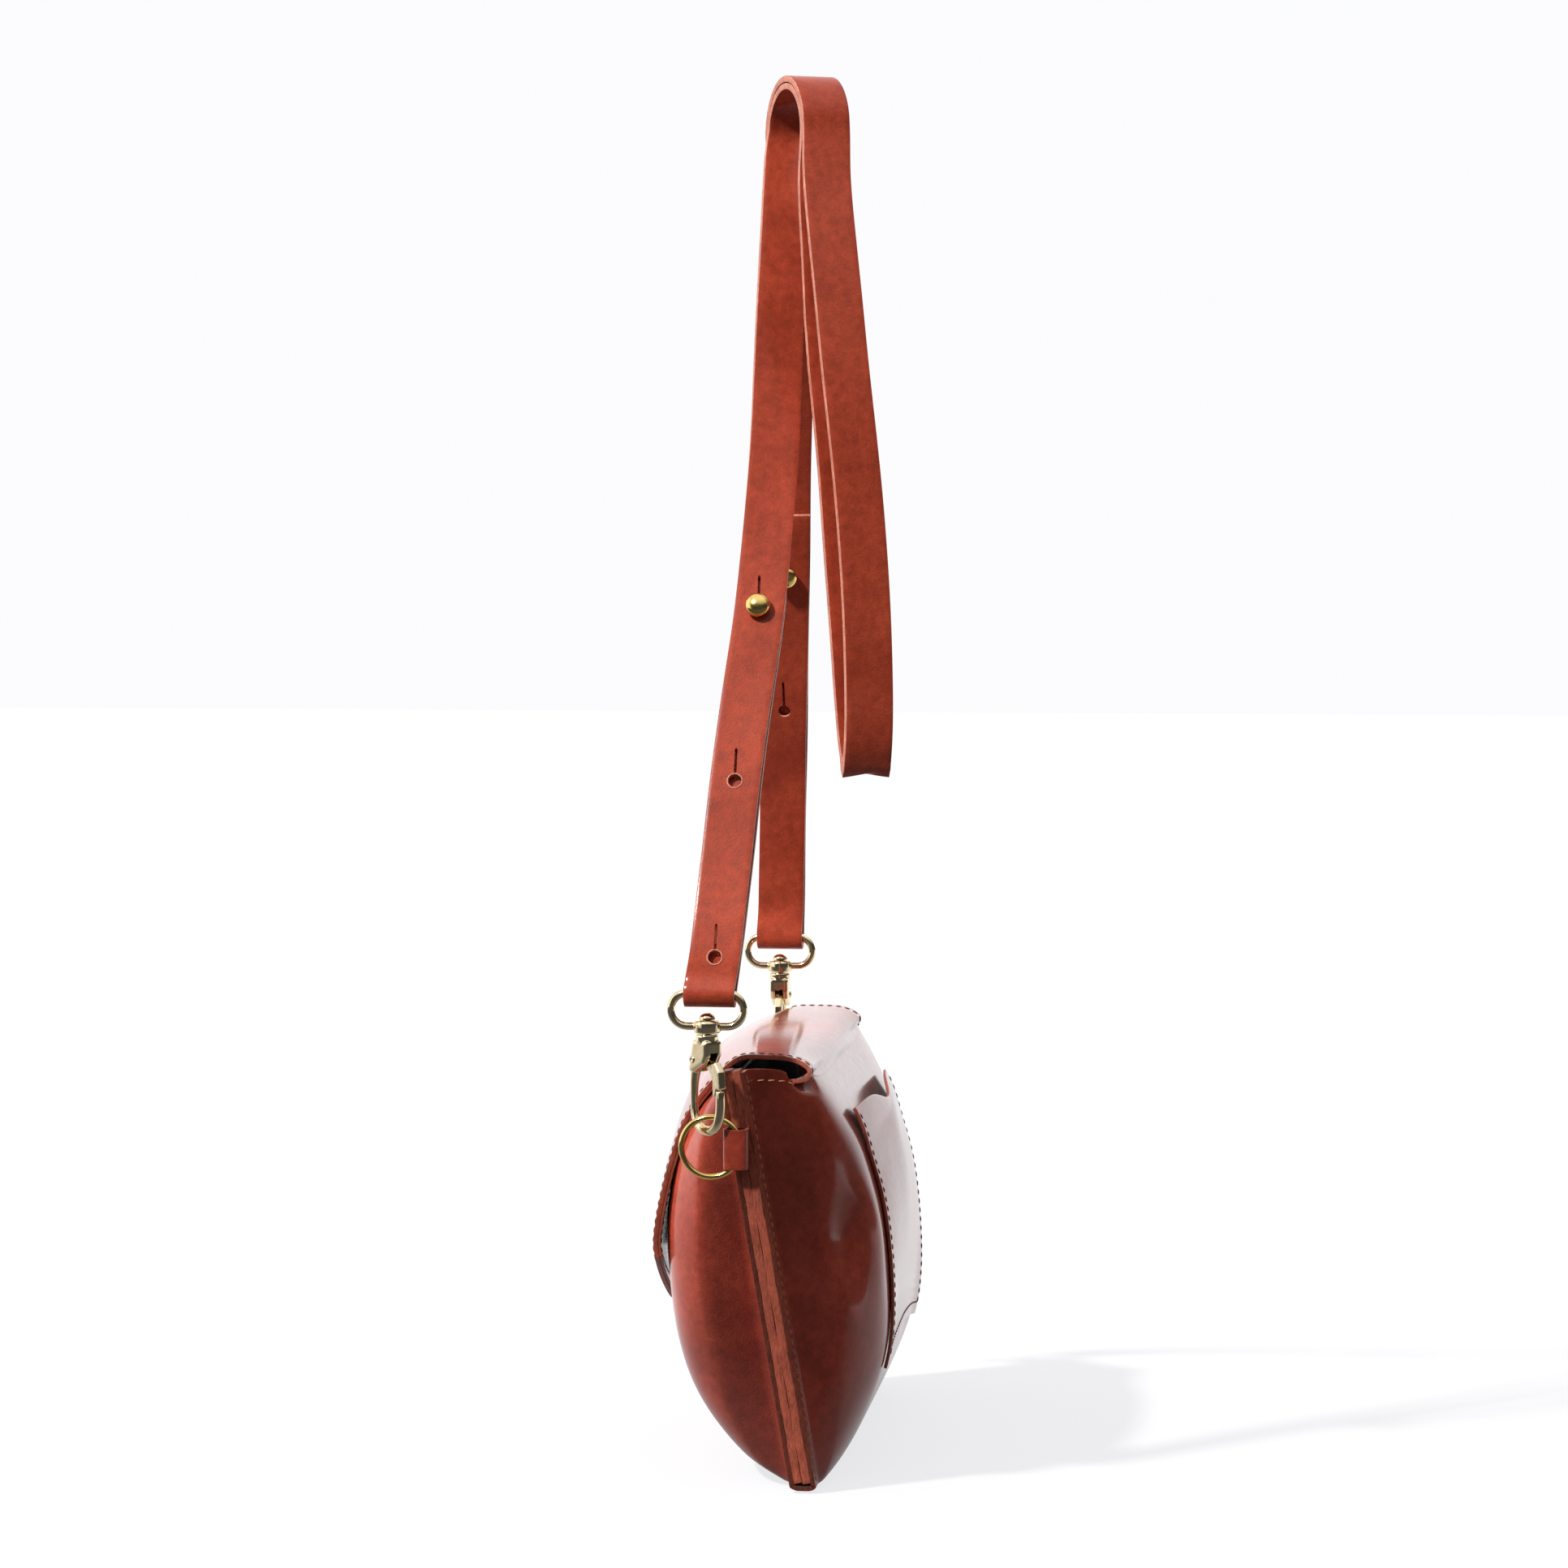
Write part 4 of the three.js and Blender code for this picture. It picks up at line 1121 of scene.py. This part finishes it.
def arch(radius):
    a = np.linspace(0, math.pi, 9)
    out = -radius * np.cos(a)
    return np.column_stack([HANG[0] + out * math.cos(HANG_TURN), HANG[1] + out * math.sin(HANG_TURN),
                            HANG[2] + radius * np.sin(a)])


def round_eye(sign):
    radius = 1.9 + 1.1 + STRAP_THICKNESS / 2
    a = -0.1 + (math.pi + 0.2) * np.arange(7) / 6
    y = EYE[1] + (1.2 if sign > 0 else 0)
    return np.column_stack([sign * (EYE[0] + radius * np.cos(a)), y + 0 * a, EYE[2] - radius * np.sin(a)])


def tongue(leg, sign, top):
    """The strap's end, folded back along the inner side of its leg."""
    line, _ = evenly(centripetal(leg), 4.0)
    along = np.gradient(line, axis=0)
    inward = np.column_stack([-np.abs(along[:, 2]) * sign, 0 * along[:, 0], -np.abs(along[:, 0])])
    inward /= np.linalg.norm(inward, axis=1, keepdims=True)
    kept = line + inward * TONGUE_GAP
    kept = kept[(line[:, 2] <= top) & (line[:, 2] >= 210)]
    return np.vstack([kept[::3], kept[-1:]])


NEAR_TONGUE_TOP, FAR_TONGUE_TOP = 362, 388
route = np.vstack([tongue(NEAR_LEG, 1, NEAR_TONGUE_TOP)[::-1], round_eye(1)[::-1], NEAR_LEG,
                   arch(HANG_INNER), BEHIND_BIGHT, BIGHT_BOTTOM, BEFORE_BIGHT, arch(HANG_OUTER)[::-1],
                   FAR_LEG, round_eye(-1), tongue(FAR_LEG[::-1], -1, FAR_TONGUE_TOP)])
centre, distance = evenly(centripetal(route), 1.0)
print("strap length, mm:", round(distance[-1]))

# %% The strap itself
tangent = np.gradient(centre, axis=0)
tangent /= np.linalg.norm(tangent, axis=1, keepdims=True)
turn_here = HANG_TURN * smooth_step((centre[:, 2] - 300) / 200)
turn_here = np.where((distance > 700) & (distance < 1130), HANG_TURN, turn_here)
across_strap = np.column_stack([-np.sin(turn_here), np.cos(turn_here), 0 * turn_here])
across_strap -= tangent * np.sum(across_strap * tangent, axis=1, keepdims=True)
across_strap /= np.linalg.norm(across_strap, axis=1, keepdims=True)
strap_face = np.cross(tangent, across_strap)


def strap_layout(u, v):
    at = u * (len(centre) - 1)
    grid = np.arange(len(centre))
    p, w = (np.column_stack([np.interp(at, grid, field[:, k]) for k in range(3)])
            for field in (centre, across_strap))
    ends = np.minimum(at, len(centre) - 1 - at)
    tip = np.clip(ends / 7, 0, 1)
    narrow = np.where(at < 20, np.sqrt(np.clip(1 - (1 - tip) ** 2, 0.12, 1)), 1)
    sway = 0.25 * np.sin(at * 0.021) + 0.12 * np.sin(at * 0.077)
    return p + w * ((v - 0.5) * STRAP_WIDTH * narrow + sway)[:, None]


strap = laid_grid("shoulder_strap", len(centre) // 2 + 1, 9, strap_layout)
dress(strap, strap_hide, strap_edge)
apply_modifier(strap, "SOLIDIFY", thickness=STRAP_THICKNESS * MM, offset=0, material_offset=0,
               material_offset_rim=1, use_even_offset=True)
apply_modifier(strap, "BEVEL", width=0.4 * MM, segments=2, limit_method="ANGLE", angle_limit=math.radians(50))

# %% Keyholes in the strap
KEYHOLE_RADIUS, SLIT_LENGTH, SLIT_WIDTH = 2.7, 11.0, 1.1
CUT_DEPTH = STRAP_THICKNESS + 0.6
NEAR_STUD, FAR_STUD = 348.3, 361


def keyhole(middle, outward_direction, slit=True):
    """A cutter for a round hole, with a slit above it, through one layer of the strap."""
    outline = [(KEYHOLE_RADIUS * math.sin(a), KEYHOLE_RADIUS * math.cos(a))
               for a in np.linspace(0.22, 2 * math.pi - 0.22, 30)]
    if slit:
        reach = KEYHOLE_RADIUS + SLIT_LENGTH
        outline += [(-SLIT_WIDTH / 2, reach - 0.4), (0, reach), (SLIT_WIDTH / 2, reach - 0.4)]
    cutter = plate("keyhole_cutter", outline, CUT_DEPTH, 0.0)
    dress(cutter, strap_edge)
    y_axis = Vector(outward_direction).normalized()
    z_axis = (Vector((0, 0, 1)) - y_axis * y_axis.z).normalized()
    x_axis = y_axis.cross(z_axis)
    frame_matrix = Matrix((x_axis, y_axis, z_axis)).transposed().to_4x4()
    return put(cutter, Matrix.Translation(Vector(world(middle))) @ frame_matrix)


def strap_at(height, first, last):
    """Index of the strap's point nearest a height, within a stretch of its length."""
    picked = np.where((distance >= first) & (distance <= last))[0]
    return picked[np.argmin(np.abs(centre[picked, 2] - height))]


near_fold = distance[strap_at(192, 0, 260)]
far_fold = distance[strap_at(192, distance[-1] - 320, distance[-1])]
near_leg, near_tongue = (near_fold + 12, near_fold + 260), (0, near_fold - 12)
far_leg, far_tongue = (far_fold - 260, far_fold - 12), (far_fold + 12, distance[-1])
holes = [(height, near_leg, True) for height in (212, 279.7, NEAR_STUD)]
holes += [(height, far_tongue, True) for height in (300, FAR_STUD)]
holes += [(NEAR_STUD, near_tongue, False), (FAR_STUD, far_leg, False)]
rims = []
for height, stretch, slit in holes:
    i = strap_at(height, *stretch)
    cut_away(strap, keyhole(centre[i], strap_face[i], slit))
    if stretch is near_leg:
        rims.append((centre[i], strap_face[i] * np.sign(strap_face[i][0])))
smooth_shading(strap, 45)
for number, (point, face) in enumerate(rims):
    bpy.ops.mesh.primitive_torus_add(major_segments=40, minor_segments=8, minor_radius=0.36 * MM,
                                     major_radius=(KEYHOLE_RADIUS + 0.25) * MM)
    rim = bpy.context.object
    rim.name = f"keyhole_rim_{number}"
    put(rim, facing(face, world(point + face * (STRAP_THICKNESS / 2 - 0.12))))
    smooth_shading(rim, 60)
    dress(rim, strap_edge)
    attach(rim, "bag")
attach(strap, "bag")
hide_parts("strap")

# %% [markdown]
# ## Studs
# A ball stud holds each tongue. The neck passes through both layers, and a base sits behind them.

# %% Studs
BALL_RISE = [(2.6, 0), (4.2, 0.45), (4.8, 1.3), (5.0, 2.2), (4.85, 3.0), (4.3, 3.9), (3.3, 4.6), (2.0, 5.0),
             (0.9, 5.15), (0.2, 5.2)]
FOOT = [(3.6, -0.8), (4.3, -0.55), (4.5, 0.0), (4.5, 0.55), (0.5, 0.6)]


def make_stud(end):
    mesh_points, base_points = (np.array([v.co for v in frame["nodes"][f"{node}_{end}"].data.vertices])
                                for node in ("stud", "stud_base"))
    base = base_points.mean(axis=0)
    direction = mesh_points.mean(axis=0) - base
    direction /= np.linalg.norm(direction)
    reach = (mesh_points - base) @ direction / MM
    neck = [(1.7, reach.min() + 0.1), (1.9, reach.min() + 0.3), (1.9, reach.max() - BALL_RISE[-1][1] - 0.3)]
    ball = [(radius, reach.max() - BALL_RISE[-1][1] + rise) for radius, rise in BALL_RISE]
    head = turned(f"stud_head_{end}", neck + ball, 56)
    put(head, facing(direction, base))
    base_piece = turned(f"stud_foot_{end}", FOOT, 48, 0.1)
    put(base_piece, facing(direction, base))
    for piece, node in ((head, f"stud_{end}"), (base_piece, f"stud_base_{end}")):
        dress(piece, gold)
        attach(piece, "bag")
        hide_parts(node)


for end, sign in ENDS:
    make_stud(end)

# %% [markdown]
# ## Studio
# A pale floor lies just under the bag, in a white surround that glows behind the bag, above it and far to
# its front, and is dim at the bag's right-hand end, so that end keeps its depth. Three distant lamps stand on
# the flap's side: each lights its own pieces, and the floor's lamp throws the shadow towards the pocket.

# %% Floor
FLOOR_DROP = 1.0
bpy.ops.object.select_all(action="DESELECT")
bpy.ops.mesh.primitive_plane_add(size=14, location=tuple(world((0, 0, -FLOOR_DROP))))
floor = bpy.context.object
floor.name = "floor"
floor_material, nodes, links, shader, place = new_material("pale floor")
bounce = nodes.new("ShaderNodeLightPath")
floor_spot = nodes.new("ShaderNodeSeparateXYZ")
links.new(place, floor_spot.inputs[0])
fade = remap(nodes, links, floor_spot.outputs["X"], -0.35, 0.30, 1.0, 0.06)
seen_floor = nodes.new("ShaderNodeMix")
seen_floor.data_type = "FLOAT"
links.new(bounce.outputs["Is Camera Ray"], seen_floor.inputs[0])
links.new(fade, seen_floor.inputs[2])
seen_floor.inputs[3].default_value = 1.0
not_diffuse = remap(nodes, links, bounce.outputs["Is Diffuse Ray"], 0, 1, 0.775, 0.45)
glow_node = nodes.new("ShaderNodeMath")
glow_node.operation = "MULTIPLY"
links.new(seen_floor.outputs[0], glow_node.inputs[0])
links.new(not_diffuse, glow_node.inputs[1])
links.new(glow_node.outputs[0], shader.inputs["Emission Strength"])
shader.inputs["Emission Color"].default_value = (0.985, 0.98, 1.0, 1)
links.new(blend_colour(nodes, links, "MIX", seen_floor.outputs[0], (0.012, 0.012, 0.012), (0.13, 0.13, 0.13)),
          shader.inputs["Base Color"])
shader.inputs["Roughness"].default_value = 1.0
shader.inputs["Specular IOR Level"].default_value = 0.0
dress(floor, floor_material)


# %% Surround: white where it is seen, bright behind and above the bag, dim at its right-hand end
surround = bpy.data.worlds.new("white surround")
bpy.context.scene.world = surround
surround.use_nodes = True
nodes, links = surround.node_tree.nodes, surround.node_tree.links
background = nodes["Background"]
coordinates = nodes.new("ShaderNodeTexCoord")
towards = nodes.new("ShaderNodeSeparateXYZ")
links.new(coordinates.outputs["Object"], towards.inputs[0])
behind = remap(nodes, links, towards.outputs["X"], -0.95, -0.60, 1.35, 0.05)
above = remap(nodes, links, towards.outputs["Z"], 0.40, 0.85, 0.0, 1.05)
left = remap(nodes, links, towards.outputs["Y"], -0.62, -0.86, 0.0, 1.3)
glow = add_heights(nodes, links, (behind, 1.0), (above, 1.0), (left, 1.0))
lamp_path = nodes.new("ShaderNodeLightPath")
strength = nodes.new("ShaderNodeMix")
strength.data_type = "FLOAT"
links.new(lamp_path.outputs["Is Camera Ray"], strength.inputs[0])
links.new(glow, strength.inputs[2])
strength.inputs[3].default_value = 0.985
background.inputs["Color"].default_value = (0.985, 0.985, 1.0, 1)
links.new(strength.outputs[0], background.inputs["Strength"])
bpy.context.scene.view_settings.view_transform = "Standard"


# %% Three distant lamps: for the shell, for the strap and the fittings, and for the floor
def lamp(name, towards_lamp, power, colour, spread, lit):
    bpy.ops.object.light_add(type="SUN", location=tuple(world((0, 0, 700))))
    light = bpy.context.object
    light.name = name
    light.data.energy = power
    light.data.color = colour
    light.data.angle = math.radians(spread)
    light.rotation_euler = Vector(towards_lamp).to_track_quat("Z", "Y").to_euler()
    receivers = bpy.data.collections.new(f"{name}_reaches")
    for piece in lit:
        receivers.objects.link(piece)
    light.light_linking.receiver_collection = receivers


other_pieces = [piece for piece in bpy.data.objects
                if piece.type == "MESH" and piece not in (bag_shell, floor)]
lamp("side_lamp", (-0.16, -1.0, 0.74), 7.0, (1.0, 0.96, 0.92), 4, [bag_shell])
lamp("front_lamp", (0.75, -0.50, 0.80), 3.4, (1.0, 0.95, 0.90), 6, other_pieces)
lamp("floor_lamp", (0.40, -0.73, 1.0), 5.0, (1.0, 0.99, 0.98), 4, [floor])
